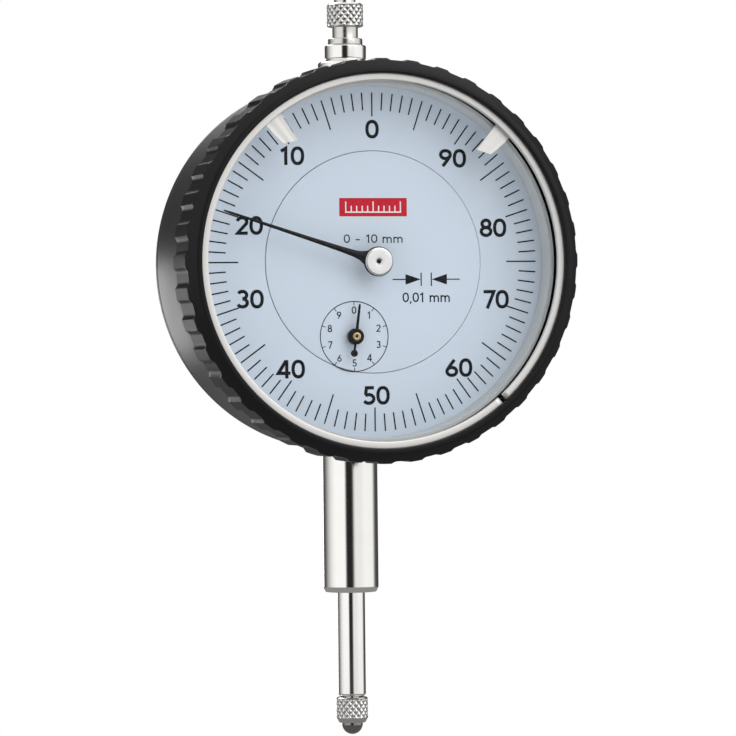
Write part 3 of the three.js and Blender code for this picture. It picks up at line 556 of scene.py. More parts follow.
def dial_enamel(rgb):
    """Matt enamel on aluminium: pale blue-grey with a very fine speckle and no shine."""
    material, tree, output, place = new_material("Enamel matt pale blue")
    speckle = grain(tree, place, 0.15, detail=2.0)
    broad = grain(tree, place, 12.0)
    tone = two_tone(tree, broad, scaled(rgb, 0.975), scaled(rgb, 1.01))
    inputs = {
        "Base Color": tone,
        "Roughness": varied(tree, speckle, 0.52, 0.66),
        "IOR": 1.45,
        "Normal": relief(tree, speckle, 0.0025),
    }
    principled(tree, output, inputs)
    return material


def matt_paint(name, rgb, rough=0.6, size_mm=0.25, depth_mm=0.004, gloss=0.5):
    """Sprayed matt paint: an even colour with a soft texture."""
    material, tree, output, place = new_material(name)
    texture = grain(tree, place, size_mm, detail=2.0)
    inputs = {
        "Base Color": two_tone(tree, texture, scaled(rgb, 0.92), scaled(rgb, 1.04)),
        "Roughness": varied(tree, texture, rough - 0.06, rough + 0.06),
        "IOR": 1.48,
        "Specular IOR Level": gloss,
        "Normal": relief(tree, texture, depth_mm),
    }
    principled(tree, output, inputs)
    return material


def printing_ink(name, rgb):
    """Screen-printed ink: dense and slightly satin, a touch uneven where it is thick."""
    material, tree, output, place = new_material(name)
    uneven = grain(tree, place, 0.3, detail=2.0)
    inputs = {
        "Base Color": two_tone(tree, uneven, scaled(rgb, 0.8), scaled(rgb, 1.25)),
        "Roughness": varied(tree, uneven, 0.42, 0.56),
        "IOR": 1.48,
        "Specular IOR Level": 0.2,
    }
    principled(tree, output, inputs)
    return material


def clear_acrylic():
    """Cast acrylic crystal: clear, with only the gloss of its two faces."""
    material, tree, output, place = new_material("Acrylic clear cast")
    smear = grain(tree, place, 14.0)
    gloss = add_node(
        tree,
        "ShaderNodeBsdfGlossy",
        {"Color": (1.0, 1.0, 1.0, 1.0), "Roughness": varied(tree, smear, 0.02, 0.05)},
    )
    clear = add_node(tree, "ShaderNodeBsdfTransparent", {"Color": (0.985, 0.992, 0.995, 1.0)})
    edge = add_node(tree, "ShaderNodeFresnel", {"IOR": 1.1})
    mix = add_node(
        tree, "ShaderNodeMixShader", {0: edge.outputs[0], 1: clear.outputs[0], 2: gloss.outputs[0]}
    )
    tree.links.new(mix.outputs[0], output.inputs["Surface"])
    return material


def synthetic_ruby(rgb):
    """Synthetic ruby bearing: deep red with a hard polish."""
    material, tree, output, place = new_material("Synthetic ruby polished")
    depth = grain(tree, place, 0.4)
    inputs = {
        "Base Color": two_tone(tree, depth, scaled(rgb, 0.7), rgb),
        "Roughness": varied(tree, depth, 0.05, 0.10),
        "IOR": 1.76,
    }
    principled(tree, output, inputs)
    return material


def floor_paper(rgb):
    """Studio paper: pale and matt."""
    return matt_paint("Studio paper pale", rgb, rough=0.8, size_mm=2.0, depth_mm=0.02)


class Finishes:
    """The object's materials, made once each when first asked for."""

    def __init__(self):
        self.made = {}

    def get(self, key):
        if key not in self.made:
            colours = bpy.context.scene.indicator_colours
            steel = tuple(colours.steel)
            makers = {
                "bezel": lambda: moulded_abs(tuple(colours.bezel)),
                "case": lambda: case_lacquer(tuple(colours.case)),
                "steel": lambda: ground_steel("Stainless steel ground", steel, 0.07, 0.13),
                "dial": lambda: dial_enamel(tuple(colours.dial)),
                "wall": lambda: matt_paint("Paint matt grey", tuple(colours.wall)),
                "hand": lambda: matt_paint(
                    "Enamel satin black", linear("#08090D"), 0.34, 0.2, 0.002, 0.25
                ),
                "ink": lambda: printing_ink("Printing ink blue-black", tuple(colours.ink)),
                "label": lambda: printing_ink("Printing ink red", tuple(colours.label)),
                "white": lambda: printing_ink("Printing ink white", linear("#F2F0EC")),
                "jewel": lambda: synthetic_ruby(linear("#B01436")),
                "crystal": clear_acrylic,
            }
            metals = {
                "knurled": ("Steel knurled bright", scaled(steel, 0.8), 0.16, 0.28),
                "ring": ("Spring steel bright", scaled(steel, 0.95), 0.5, 0.6, 0.3, 0.002, 0.94),
                "plated": ("Nickel plate satin", steel, 0.2, 0.3),
                "gilt": ("Brass gilt", linear("#D2B48C"), 0.18, 0.28),
                "brass": ("Brass milled", linear("#CDAA5E"), 0.24, 0.38, 0.4),
                "screw": ("Steel zinc plated", linear("#B9BCC0"), 0.26, 0.4),
                "arbor": ("Steel ground arbor", linear("#C2C3C6"), 0.16, 0.26),
                "spring": ("Spring steel blued", linear("#56627A"), 0.25, 0.38),
                "ball": ("Tungsten carbide lapped", linear("#8E8C88"), 0.06, 0.12),
            }
            if key in metals:
                self.made[key] = turned_metal(*metals[key])
            else:
                self.made[key] = makers[key]()
        return self.made[key]


finishes = Finishes()


# ---- Operators, one for each piece or group of pieces ----


class BuildOperator:
    """What the building operators share."""

    bl_options = {"REGISTER", "UNDO"}

    def sizes(self):
        return bpy.context.scene.indicator_sizes


class BuildCase(BuildOperator, bpy.types.Operator):
    """Builds the round case with its rim, its ledge and the holes for the stem and sleeve"""

    bl_idname = "indicator.case"
    bl_label = "Case"

    def execute(self, context):
        low, high = box_mm("case_body")
        rim, back = low[1], high[1]
        bore = CASE_R - CASE_WALL
        ledge = box_mm("rear_plate")[1][1]
        corners = [
            (bore, rim, 0.2),
            (CASE_R, rim, 0.2),
            (CASE_R, back, 0.12),
            (bore, back),
            (bore, ledge + 1.5),
            (bore - 3, ledge + 1.5, 0.2),
            (bore - 3, ledge + 0.05),
            (bore, ledge + 0.05),
        ]
        case = mesh_piece("case_shell", revolved(corners, 256, about_dial), "case", "case", "case_body")
        hole, sleeve = STEM_R + 0.03, STEM_R - 0.5
        stem_hole = revolved(plug(hole, 0, DIAL_Z), 96, about_stem)
        sleeve_hole = revolved(plug(sleeve, DIAL_Z, DIAL_Z + CASE_R + 2), 96, about_stem)
        cut_by(case, [stem_hole, sleeve_hole])
        return {"FINISHED"}


class BuildBackCover(BuildOperator, bpy.types.Operator):
    """Builds the flat back cover with its countersinks and the four slotted screws"""

    bl_idname = "indicator.back_cover"
    bl_label = "Back cover and screws"

    def execute(self, context):
        low, high = box_mm("back_cover")
        front, back = low[1], high[1]
        cover = mesh_piece(
            "cover_plate", revolved(plug(CASE_R, front, back, 0.1, 0.5), 256, about_dial),
            "case", "case", "back_cover",
        )
        head = radius_mm("back_screw_1")
        sinks = []
        for i in range(1, 5):
            place = middle_mm(f"back_screw_{i}")
            where = {"centre": (place[0], place[2] - DIAL_Z)}
            sink = [
                (0, front - 1),
                (1.1, front - 1),
                (1.1, back - head + 1),
                (head + 0.1, back),
                (head + 0.1, back + 1),
                (0, back + 1),
            ]
            sinks.append(revolved(sink, 48, about_dial, **where))
            self.screw(i, head, back, where)
        cut_by(cover, sinks)
        return {"FINISHED"}

    def screw(self, number, head, face, where):
        """One countersunk screw with a straight slot cut across its head."""
        tip = box_mm(f"back_screw_{number}")[0][1]
        corners = [
            (0, tip),
            (1.0, tip, 0.2),
            (1.0, face - head + 1),
            (head, face - 0.06, 0.08),
            (head - 0.1, face, 0.05),
            (0, face - 0.02),
        ]
        screw = mesh_piece(
            f"cover_screw_{number}", revolved(corners, 64, about_dial, **where),
            "screw", "case", f"back_screw_{number}",
        )
        angle = math.radians(25 + 67 * number)
        reach = np.array([math.cos(angle), math.sin(angle)]) * (head + 1)
        centre = np.array(where["centre"])
        cut_by(screw, [stroke([centre - reach, centre + reach], 0.45, face - 0.6, face + 1)])


class BuildStem(BuildOperator, bpy.types.Operator):
    """Builds the clamping stem and the flanged upper sleeve"""

    bl_idname = "indicator.stem"
    bl_label = "Stem and sleeve"

    def execute(self, context):
        low, high = box_mm("stem")
        bush = radius_mm("lower_bush")
        stem = [
            (bush + 0.05, low[2], 0.15),
            (STEM_R - 0.35, low[2], 0.06),
            (STEM_R, low[2] + 0.7, 0.15),
            (STEM_R, high[2], 0.2),
            (bush + 0.05, high[2]),
        ]
        mesh_piece("stem_tube", revolved(stem, 160, about_stem), "steel", "case", "stem")
        low, high = box_mm("upper_sleeve")
        case_top = DIAL_Z + CASE_R
        flange_top = case_top + 2.3
        bore = radius_mm("upper_bush") + 0.05
        sleeve = [
            (bore, low[2]),
            (STEM_R - 0.6, low[2], 0.2),
            (STEM_R - 0.6, case_top + 0.05),
            (STEM_R, case_top + 0.05, 0.1),
            (STEM_R, flange_top - 0.22, 0.12),
            (STEM_R - 0.25, flange_top, 0.1),
            (2.62, flange_top, 0.1),
            (2.98, flange_top + 0.42, 0.25),
            (3.0, high[2] - 0.12, 0.08),
            (2.88, high[2], 0.05),
            (bore, high[2], 0.1),
        ]
        mesh_piece("sleeve_collar", revolved(sleeve, 160, about_stem), "steel", "case", "upper_sleeve")
        return {"FINISHED"}


def diamond_knurl(depth, radius, low, high, starts, lead):
    """Two families of V grooves that cross: at each point the surface goes in by the depth times
    one less the product of two rectified sines, one for each hand of the helix, and the knurl
    fades out over a short run-out at both ends."""

    def relief_at(angle, height, at_radius):
        turn = starts * angle / 2
        climb = np.pi * (height - low) / lead
        ridge = np.sqrt(np.abs(np.sin(turn + climb) * np.sin(turn - climb)))
        fade = np.clip((height - low) / 0.15, 0, 1) * np.clip((high - height) / 0.15, 0, 1)
        on_surface = np.abs(at_radius - radius) < 0.02
        return depth * (1 - ridge) * fade * on_surface

    return relief_at


def rows_between(radius, low, high, step):
    """Profile points up a straight side, close enough together to carry a knurl."""
    return [(radius, float(h)) for h in np.linspace(low, high, int((high - low) / step) + 1)]


class BuildKnob(BuildOperator, bpy.types.Operator):
    """Builds the knurled lifting knob with its step, neck and top boss"""

    bl_idname = "indicator.knob"
    bl_label = "Lifting knob"

    def execute(self, context):
        low, high = box_mm("lifting_knob")
        radius = radius_mm("lifting_knob")
        step_top = low[2] + 0.95
        neck_top = step_top + 1.7
        crown = high[2] - 1.2
        knurl_low, knurl_high = neck_top + 0.16, crown - 0.32
        corners = [
            (0, low[2]),
            (2.42, low[2], 0.05),
            (2.5, low[2] + 0.1, 0.05),
            (2.5, step_top - 0.1, 0.05),
            (2.4, step_top, 0.05),
            (1.85, step_top, 0.08),
            (1.85, neck_top, 0.1),
            (2.45, neck_top, 0.08),
            *rows_between(radius, knurl_low, knurl_high, 0.04),
            (2.3, crown, 0.12),
            (1.55, crown, 0.05),
            (1.55, high[2] - 0.3, 0.1),
            (1.25, high[2], 0.15),
            (0, high[2]),
        ]
        depth = mm_of(self.sizes().knurl_depth)
        knurl = diamond_knurl(depth, radius, knurl_low, knurl_high, 15, 1.05)
        mesh_piece(
            "knob_knurled", revolved(corners, 312, about_stem, knurl),
            "knurled", "plunger", "lifting_knob", sharp=50,
        )
        return {"FINISHED"}


class BuildSpindle(BuildOperator, bpy.types.Operator):
    """Builds the spindle with the rack cut in its left side"""

    bl_idname = "indicator.spindle"
    bl_label = "Spindle"

    def execute(self, context):
        low, high = box_mm("spindle")
        shoulder = box_mm("lifting_knob")[0][2] - 0.15
        stud = 1.2
        pitch, teeth_below, teeth_above = 0.625, 19, 3
        level = DIAL_Z + SMALL_Z
        tips = np.arange(-teeth_below, teeth_above + 1) * pitch + level
        steps = np.array([-0.5, -0.25, -0.09, 0.09, 0.25]) * pitch
        rack_heights = np.sort((tips[:, None] + steps).ravel())
        side = [(SPINDLE_R, float(h)) for h in rack_heights]
        corners = [
            (0, low[2] + 0.1),
            (SPINDLE_R - 0.25, low[2] + 0.1, 0.1),
            (SPINDLE_R, low[2] + 0.35, 0.15),
            *side,
            (SPINDLE_R, shoulder),
            (stud, shoulder),
            (stud, high[2]),
            (0, high[2]),
        ]
        points, quads = revolved(corners, 128, about_stem)
        rack_line = -(SPINDLE_R - 0.64)
        phase = np.abs((points[:, 2] - level + pitch / 2) % pitch - pitch / 2) / pitch
        depth = np.interp(phase, [0.09, 0.25], [-0.149, 0.249])
        cut = (points[:, 2] > rack_heights[0]) & (points[:, 2] < rack_heights[-1])
        wall = np.where(cut, rack_line + depth, -SPINDLE_R)
        points[:, 0] = np.maximum(points[:, 0], wall)
        mesh_piece("spindle_bar", (points, quads), "steel", "plunger", "spindle")
        return {"FINISHED"}


class BuildContact(BuildOperator, bpy.types.Operator):
    """Builds the knurled contact point and its ball"""

    bl_idname = "indicator.contact"
    bl_label = "Contact point"

    def execute(self, context):
        spindle_end = box_mm("spindle")[0][2]
        low, high = box_mm("contact_point")
        top = spindle_end - 0.05
        bottom = low[2]
        nose_top = bottom + 0.65
        radius = radius_mm("contact_point")
        ball_low, ball_high = box_mm("contact_ball")
        ball_r = (ball_high[2] - ball_low[2]) / 2
        ball_z = (ball_high[2] + ball_low[2]) / 2
        seat = ball_r + 0.05
        corners = [
            (0, high[2]),
            (1.15, high[2]),
            (1.15, top),
            (radius - 0.2, top, 0.1),
            *rows_between(radius, nose_top + 0.1, top - 0.18, 0.04)[::-1],
            (radius - 0.05, nose_top, 0.05),
            (seat + 0.35, bottom, 0.1),
            (seat, bottom + 0.02),
            (seat, ball_z + ball_r + 0.1),
            (0, ball_z + ball_r + 0.1),
        ]
        depth = mm_of(self.sizes().knurl_depth)
        knurl = diamond_knurl(depth, radius, nose_top + 0.1, top - 0.18, 14, 1.0)
        mesh_piece(
            "contact_knurled", revolved(corners, 264, about_stem, knurl),
            "knurled", "plunger", "contact_point", sharp=50,
        )
        tilt = np.linspace(-math.pi / 2, math.pi / 2, 49)
        ball = [(max(ball_r * math.cos(t), 0.0), ball_z + ball_r * math.sin(t)) for t in tilt]
        ball[0], ball[-1] = (0, ball[0][1]), (0, ball[-1][1])
        mesh_piece(
            "contact_ball_lapped", revolved(ball, 96, about_stem), "ball", "plunger", "contact_ball"
        )
        return {"FINISHED"}


class BuildBezel(BuildOperator, bpy.types.Operator):
    """Builds the moulded bezel with its blind grip pockets between the ribs"""

    bl_idname = "indicator.bezel"
    bl_label = "Bezel"

    def pockets(self):
        """How far the surface goes in at an angle and height: between two ribs it stays inside a
        smaller radius, with soft sides, and steps in a little more behind the pockets' front end."""
        sizes = self.sizes()
        pitch = 2 * math.pi * BEZEL_R / sizes.rib_count
        land, depth = mm_of(sizes.rib_land), mm_of(sizes.rib_depth)
        front = DIAL_Y - mm_of(sizes.rib_front)

        def relief_at(angle, height, radius):
            along = (angle / (2 * math.pi) * sizes.rib_count) % 1.0
            from_land = np.minimum(along, 1 - along) * pitch - land / 2
            smooth = lambda t: t * t * (3 - 2 * t)
            side = smooth(np.clip(from_land / 0.3, 0, 1))
            end = smooth(np.clip((height - front) / 0.3, 0, 1))
            limit = BEZEL_R - side * (FRONT_IN + (depth - FRONT_IN) * end)
            return np.maximum(0, radius - limit)

        return relief_at

    def execute(self, context):
        pocket = BEZEL_R - 2.2
        edge = BEZEL_R - FRONT_IN
        snap_low, snap_high = box_mm("snap_ring")
        crystal_back = box_mm("crystal")[1][1] + 0.05
        ledge = BEZEL_R - 2.8
        skirt = CASE_R + 0.3
        rim = box_mm("case_body")[0][1]
        heights = np.concatenate(
            [np.linspace(BEZEL_BACK - 0.25, DIAL_Y - 4.4, 6), np.linspace(DIAL_Y - 4.8, DIAL_Y - 5.3, 11)]
        )
        corners = [
            (skirt, BEZEL_BACK, 0.1),
            (BEZEL_R - 0.22, BEZEL_BACK, 0.08),
            *[(BEZEL_R, float(h)) for h in heights],
            (BEZEL_R, BEZEL_FRONT + 1.5, 0.1),
            (edge, BEZEL_FRONT + 1.15, 0.1),
            (edge - 1.05, BEZEL_FRONT + 0.05, 0.25),
            (edge - 1.75, BEZEL_FRONT, 0.15),
            (pocket, BEZEL_FRONT + 0.35, 0.1),
            (pocket, snap_low[1] - 0.05),
            (pocket + 0.3, snap_low[1] - 0.05),
            (pocket + 0.3, snap_high[1] + 0.05),
            (pocket, snap_high[1] + 0.05),
            (pocket, crystal_back),
            (ledge, crystal_back),
            (ledge, rim - 0.3),
            (skirt, rim - 0.3),
        ]
        mesh_piece(
            "bezel_moulding", revolved(corners, 16 * self.sizes().rib_count, about_dial, self.pockets()),
            "bezel", "bezel", "bezel_ring", sharp=40,
        )
        return {"FINISHED"}


class BuildCrystal(BuildOperator, bpy.types.Operator):
    """Builds the crystal, the split snap ring over it and the grey wall under it"""

    bl_idname = "indicator.crystal"
    bl_label = "Crystal, snap ring and wall"

    gap_angle: bpy.props.FloatProperty(
        name="Gap angle",
        description="Where the snap ring's gap is, clockwise from the top",
        default=math.radians(139),
        subtype="ANGLE",
    )
    gap: length("Gap", "Width of the snap ring's gap", 0.8)

    def snap_ring(self):
        """A flat section with rounded corners, carried round an arc that stops at the gap."""
        low, high = box_mm("snap_ring")
        outer = radius_mm("snap_ring")
        inner = outer - 1.0
        front, back = low[1], high[1]
        corners = [(inner, front, 0.14), (outer, front, 0.14), (outer, back, 0.1), (inner, back, 0.1)]
        section = softened(corners, closed=True, steps=4)
        middle = math.pi / 2 - self.gap_angle
        half = mm_of(self.gap) / 2 / outer
        angle = np.linspace(middle + half, middle + 2 * math.pi - half, 240)[:, None]
        points = about_dial(section[None, :, 0], section[None, :, 1], angle)
        return points.reshape(-1, 3), grid_quads(*points.shape[:2])

    def execute(self, context):
        low, high = box_mm("crystal")
        radius = radius_mm("crystal")
        mesh_piece(
            "crystal_disc", revolved(plug(radius, low[1], high[1], 0.3, 0.15), 192, about_dial),
            "crystal", "bezel", "crystal",
        )
        ring = mesh_piece("snap_ring_split", self.snap_ring(), "ring", "bezel", "snap_ring")
        mended(ring.data, close_ends=True)
        low, high = box_mm("wall_ring")
        outer = radius_mm("wall_ring")
        wall = [
            (outer - 0.62, low[1] + 0.05, 0.1),
            (outer, low[1], 0.1),
            (outer, high[1]),
            (outer - 0.68, high[1]),
        ]
        mesh_piece("wall_liner", revolved(wall, 256, about_dial), "wall", "bezel", "wall_ring")
        return {"FINISHED"}


class BuildDials(BuildOperator, bpy.types.Operator):
    """Builds the turning scale ring and the fixed inner dial"""

    bl_idname = "indicator.dials"
    bl_label = "Dials"

    def execute(self, context):
        back = box_mm("scale_ring")[1][1]
        inner = SEAM_R + 0.08
        ring = [(inner, DIAL_Y, 0.06), (SCALE_R, DIAL_Y), (SCALE_R, back), (inner, back)]
        mesh_piece("scale_plate", revolved(ring, 256, about_dial), "dial", "bezel", "scale_ring")
        hub_hole = 0.8
        face = DIAL_Y - DIAL_PROUD
        disc = [(hub_hole, face, 0.05), (SEAM_R, face, 0.07), (SEAM_R, back), (hub_hole, back)]
        dial = mesh_piece(
            "inner_dial_plate", revolved(disc, 256, about_dial), "dial", "case", "inner_dial"
        )
        hole = plug(hub_hole, DIAL_Y - 1, back + 1)
        cut_by(dial, [revolved(hole, 48, about_dial, centre=(SMALL_X, SMALL_Z))])
        return {"FINISHED"}


# The scale's lines end at TICK_R and start at one of three inner radii.
TICK_R, MINOR_R, TENS_R, FIVES_R = 24.0, 21.5, 20.6, 19.63
NUMERAL_BREADTH = 1.27
# Each numeral's middle, across and up from the dial's centre.
NUMERAL_PLACES = {
    "0": (0.0, 18.8),
    "10": (-11.75, 15.0),
    "20": (-18.0, 5.2),
    "30": (-18.0, -5.15),
    "40": (-12.2, -15.05),
    "50": (0.2, -18.9),
    "60": (12.4, -15.1),
    "70": (18.0, -5.4),
    "80": (17.7, 4.8),
    "90": (11.8, 14.7),
}


def radial_line(radius_in, radius_out, degrees, width, front, back, centre=(0.0, 0.0)):
    """A straight line along a radius, at an angle counter-clockwise from the top."""
    angle = math.radians(90 + degrees)
    direction = np.array([math.cos(angle), math.sin(angle)])
    line = np.array([radius_in * direction, radius_out * direction]) + centre
    return stroke(line, width, front, back)


class PrintScale(BuildOperator, bpy.types.Operator):
    """Prints the hundred divisions and their numerals on the turning scale ring"""

    bl_idname = "indicator.scale_print"
    bl_label = "Scale print"

    def execute(self, context):
        sizes = self.sizes()
        height, weight = mm_of(sizes.numeral_height), mm_of(sizes.numeral_stroke)
        front = DIAL_Y - mm_of(sizes.ink_height)
        back = DIAL_Y + PRINT_SUNK
        width = mm_of(sizes.tick_width)
        shapes = []
        for division in range(100):
            inner = {0: TENS_R, 5: FIVES_R}.get(division % 10, MINOR_R)
            shapes.append(radial_line(inner, TICK_R, 3.6 * division, width, front, back))
        for numeral, (x, z) in NUMERAL_PLACES.items():
            shapes += lettering(numeral, height, weight, x, z, front, back, NUMERAL_BREADTH)
        mesh_piece("scale_print", joined(shapes), "ink", "bezel")
        return {"FINISHED"}


class PrintDial(BuildOperator, bpy.types.Operator):
    """Prints the small dial, the division symbol and the value line on the fixed dial"""

    bl_idname = "indicator.dial_print"
    bl_label = "Dial print"

    circle: length("Small circle", "Radius of the small dial's circle", 4.95)

    def small_dial(self, front, back):
        """A circle with ten short inward lines and the digits 0 to 9 clockwise."""
        radius = mm_of(self.circle)
        centre = np.array([SMALL_X, SMALL_Z])
        ring = arc(*centre, radius, radius, 0, 357.5, 143)
        shapes = [stroke(ring, 0.13, front, back, closed=True)]
        for digit in range(10):
            turn = -36 * digit
            shapes.append(radial_line(radius - 0.55, radius, turn, 0.11, front, back, centre))
            angle = math.radians(90 + turn)
            x, z = centre + 0.755 * radius * np.array([math.cos(angle), math.sin(angle)])
            shapes += lettering(str(digit), 1.06, 0.155, x, z, front, back, 1.1)
        return shapes

    def division_symbol(self, front, back):
        """Two arrows that point at the two lines of one division."""
        level, middle = -2.5, 7.7
        shapes = []
        for side in (-1, 1):
            line_x = middle + side * 0.75
            shapes.append(stroke([[line_x, level - 0.95], [line_x, level + 0.95]], 0.17, front, back))
            shaft = [[line_x + side * 2.2, level], [line_x + side * 4.2, level]]
            shapes.append(stroke(shaft, 0.16, front, back))
            head = [[line_x + side * 0.12, level], [line_x + side * 2.3, level]]
            shapes.append(stroke(head, [0.04, 1.5], front - 0.002, back))
        shapes += lettering("0,01 mm", 1.4, 0.2, middle, level - 2.55, front, back, 1.17)
        return shapes

    def execute(self, context):
        back = DIAL_Y - DIAL_PROUD + PRINT_SUNK
        front = DIAL_Y - DIAL_PROUD - mm_of(self.sizes().ink_height)
        shapes = self.small_dial(front, back) + self.division_symbol(front, back)
        shapes += lettering("0 - 10 mm", 1.25, 0.17, 0, 3.3, front, back, 1.3)
        mesh_piece("dial_print", joined(shapes), "ink", "case")
        return {"FINISHED"}


class PrintLabel(BuildOperator, bpy.types.Operator):
    """Prints the plain red label with a row of white ruler lines"""

    bl_idname = "indicator.label_print"
    bl_label = "Label print"

    def execute(self, context):
        width, height, level = 9.9, 2.6, 7.75
        back = DIAL_Y - DIAL_PROUD + PRINT_SUNK
        front = DIAL_Y - DIAL_PROUD - mm_of(self.sizes().ink_height)
        field = stroke([[-width / 2, level], [width / 2, level]], height, front, back)
        mesh_piece("label_field", field, "label", "case")
        base = level - 0.7
        lines = [stroke([[-4.1, base], [4.1, base]], 0.18, front - 0.008, back)]
        for i, x in enumerate(np.linspace(-4.0, 4.0, 11)):
            top = base + (1.5 if i % 5 == 0 else 0.9)
            lines.append(stroke([[x, base], [x, top]], 0.17, front - 0.009, back))
        mesh_piece("label_lines", joined(lines), "white", "case")
        return {"FINISHED"}


def blade(line, widths, front, back, crown=0.4, slant=0.0):
    """A hand's blade: a crowned section of seven points, carried along a line with its own
    half-width at each point. A slant moves one side of the first end along the line."""
    line, half = np.asarray(line, float), np.asarray(widths, float)[:, None] / 2
    direction = (line[-1] - line[0]) / np.linalg.norm(line[-1] - line[0])
    across = np.array([-direction[1], direction[0]])
    share = np.array([-1, -0.55, 0, 0.55, 1, 1, -1])
    depth = np.array([crown, 0.1, 0, 0.1, crown, 1, 1])
    ahead = slant * share * np.eye(len(line))[:, :1]
    x = line[:, :1] + half * share * across[0] + ahead * direction[0]
    z = line[:, 1:] + half * share * across[1] + ahead * direction[1]
    y = front + depth * (back - front) * np.ones_like(x)
    points = dial_point(x, z, y)
    return points.reshape(-1, 3), grid_quads(*points.shape[:2])


def turned_line(points, degrees, centre=(0.0, 0.0)):
    """Points drawn for a hand at the top, turned counter-clockwise about its arbor."""
    angle = math.radians(degrees)
    x, z = np.asarray(points, float).T
    turned = np.stack(
        [x * math.cos(angle) - z * math.sin(angle), x * math.sin(angle) + z * math.cos(angle)], -1
    )
    return turned + centre


class BuildMainHand(BuildOperator, bpy.types.Operator):
    """Builds the tapered main hand, its boss, its dark centre pin and the silver cap"""

    bl_idname = "indicator.main_hand"
    bl_label = "Main hand"

    degrees = 72.0

    def execute(self, context):
        low, high = box_mm("main_hand")
        front = low[1]
        reach = [-0.9, 0.0, 1.9, 2.7, 3.6, 5.5, 10.0, 16.0, 22.4, 23.4]
        widths = [2.3, 2.6, 2.0, 1.3, 0.98, 0.8, 0.6, 0.46, 0.32, 0.2]
        line = turned_line([[0, r] for r in reach], self.degrees)
        points, quads = blade(line, widths, front, front + 0.22)
        boss = [
            (0.56, front + 0.04),
            (2.12, front + 0.04, 0.05),
            (2.12, front + 0.3, 0.05),
            (1.1, front + 0.3),
            (1.1, high[1], 0.1),
            (0.56, high[1]),
        ]
        cap_front = box_mm("main_hand_cap")[0][1]
        pin = plug(0.33, cap_front + 0.15, cap_front + 0.25, 0.05)
        shapes = [(points, quads), revolved(boss, 64, about_dial), revolved(pin, 48, about_dial)]
        hand = mesh_piece("main_hand_blade", joined(shapes), "hand", "centre_train", "main_hand")
        mended(hand.data, close_ends=True)
        low, high = box_mm("main_hand_cap")
        cap = [
            (0, low[1] + 0.5),
            (0.5, low[1], 0.03),
            (1.85, low[1], 0.12),
            (2.0, low[1] + 0.12, 0.08),
            (2.0, high[1], 0.05),
            (0, high[1]),
        ]
        mesh_piece(
            "main_hand_cap_disc", revolved(cap, 96, about_dial),
            "plated", "centre_train", "main_hand_cap",
        )
        return {"FINISHED"}


class BuildSmallHand(BuildOperator, bpy.types.Operator):
    """Builds the small hand with its counterweight, its black hub and pin, and the gilt cap"""

    bl_idname = "indicator.small_hand"
    bl_label = "Small hand"

    degrees = -7.2

    def execute(self, context):
        low, high = box_mm("small_hand")
        front = low[1]
        centre = (SMALL_X, SMALL_Z)
        reach = [-2.35, -1.0, 0.0, 2.0, 4.2, 4.6]
        widths = [0.28, 0.32, 0.42, 0.38, 0.32, 0.24]
        line = turned_line([[0, r] for r in reach], self.degrees, centre)
        points, quads = blade(line, widths, front, front + 0.2)
        hub = [(0.56, front - 0.05), (1.14, front - 0.05, 0.15), (1.14, high[1], 0.1), (0.56, high[1])]
        weight_centre = tuple(turned_line([[0, -2.4]], self.degrees, centre)[0])
        weight = plug(0.5, front - 0.02, front + 0.24, 0.08, 0.04)
        cap_front = box_mm("small_hand_cap")[0][1]
        pin = plug(0.19, cap_front + 0.1, cap_front + 0.2, 0.03)
        shapes = [
            (points, quads),
            revolved(pin, 32, about_dial, centre=centre),
            revolved(hub, 64, about_dial, centre=centre),
            revolved(weight, 48, about_dial, centre=weight_centre),
        ]
        hand = mesh_piece("small_hand_blade", joined(shapes), "hand", "rack_train", "small_hand")
        mended(hand.data, close_ends=True)
        low, high = box_mm("small_hand_cap")
        cap = [
            (0, low[1] + 0.3),
            (0.3, low[1], 0.03),
            (0.52, low[1], 0.08),
            (0.6, low[1] + 0.1, 0.05),
            (0.6, high[1]),
            (0, high[1]),
        ]
        mesh_piece(
            "small_hand_cap_ring", revolved(cap, 64, about_dial, centre=centre),
            "gilt", "rack_train", "small_hand_cap",
        )
        return {"FINISHED"}


class BuildMarkers(BuildOperator, bpy.types.Operator):
    """Builds the two tapered tolerance markers under the snap ring"""

    bl_idname = "indicator.markers"
    bl_label = "Tolerance markers"

    def execute(self, context):
        for side, degrees in (("left", 38.5), ("right", -44.0)):
            node = f"marker_{side}"
            low, high = box_mm(node)
            foot = BEZEL_R - 2.6
            tip = 21.3
            reach = [tip, tip + 1.0, (tip + foot) / 2, foot]
            widths = [2.0, 2.15, 2.45, 2.75]
            line = turned_line([[0, r] for r in reach], degrees)
            slant = math.copysign(0.5, degrees)
            points, quads = blade(line, widths, low[1], high[1], 0.0, slant)
            piece = mesh_piece(f"{node}_tab", (points, quads), "ring", node, node)
            mended(piece.data, close_ends=True)
            piece.data.shade_flat()
        return {"FINISHED"}


CAD_FINISHES = {
    "brass": "lower_bush upper_bush front_plate rear_plate pillar_1 pillar_2 pillar_3 rack_wheel "
    "takeup_wheel spring_collet hairspring_stud guide_arm guide_rail",
    "screw": "pillar_screw_1 pillar_screw_2 pillar_screw_3 mount_screw_1 mount_screw_2 "
    "mount_screw_3 spring_post",
    "arbor": "rack_arbor centre_arbor takeup_arbor",
    "spring": "bezel_wire return_spring hairspring",
    "jewel": "centre_jewel_front centre_jewel_rear rack_jewel_front rack_jewel_rear "
    "takeup_jewel_front takeup_jewel_rear",
}


class FinishMovement(BuildOperator, bpy.types.Operator):
    """Gives the movement's own pieces, which keep their CAD shapes, their brass, steel and ruby"""

    bl_idname = "indicator.movement"
    bl_label = "Movement finishes"

    def execute(self, context):
        for key, nodes in CAD_FINISHES.items():
            for node in nodes.split():
                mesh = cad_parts[node].data
                mesh.materials.clear()
                mesh.materials.append(finishes.get(key))
        return {"FINISHED"}


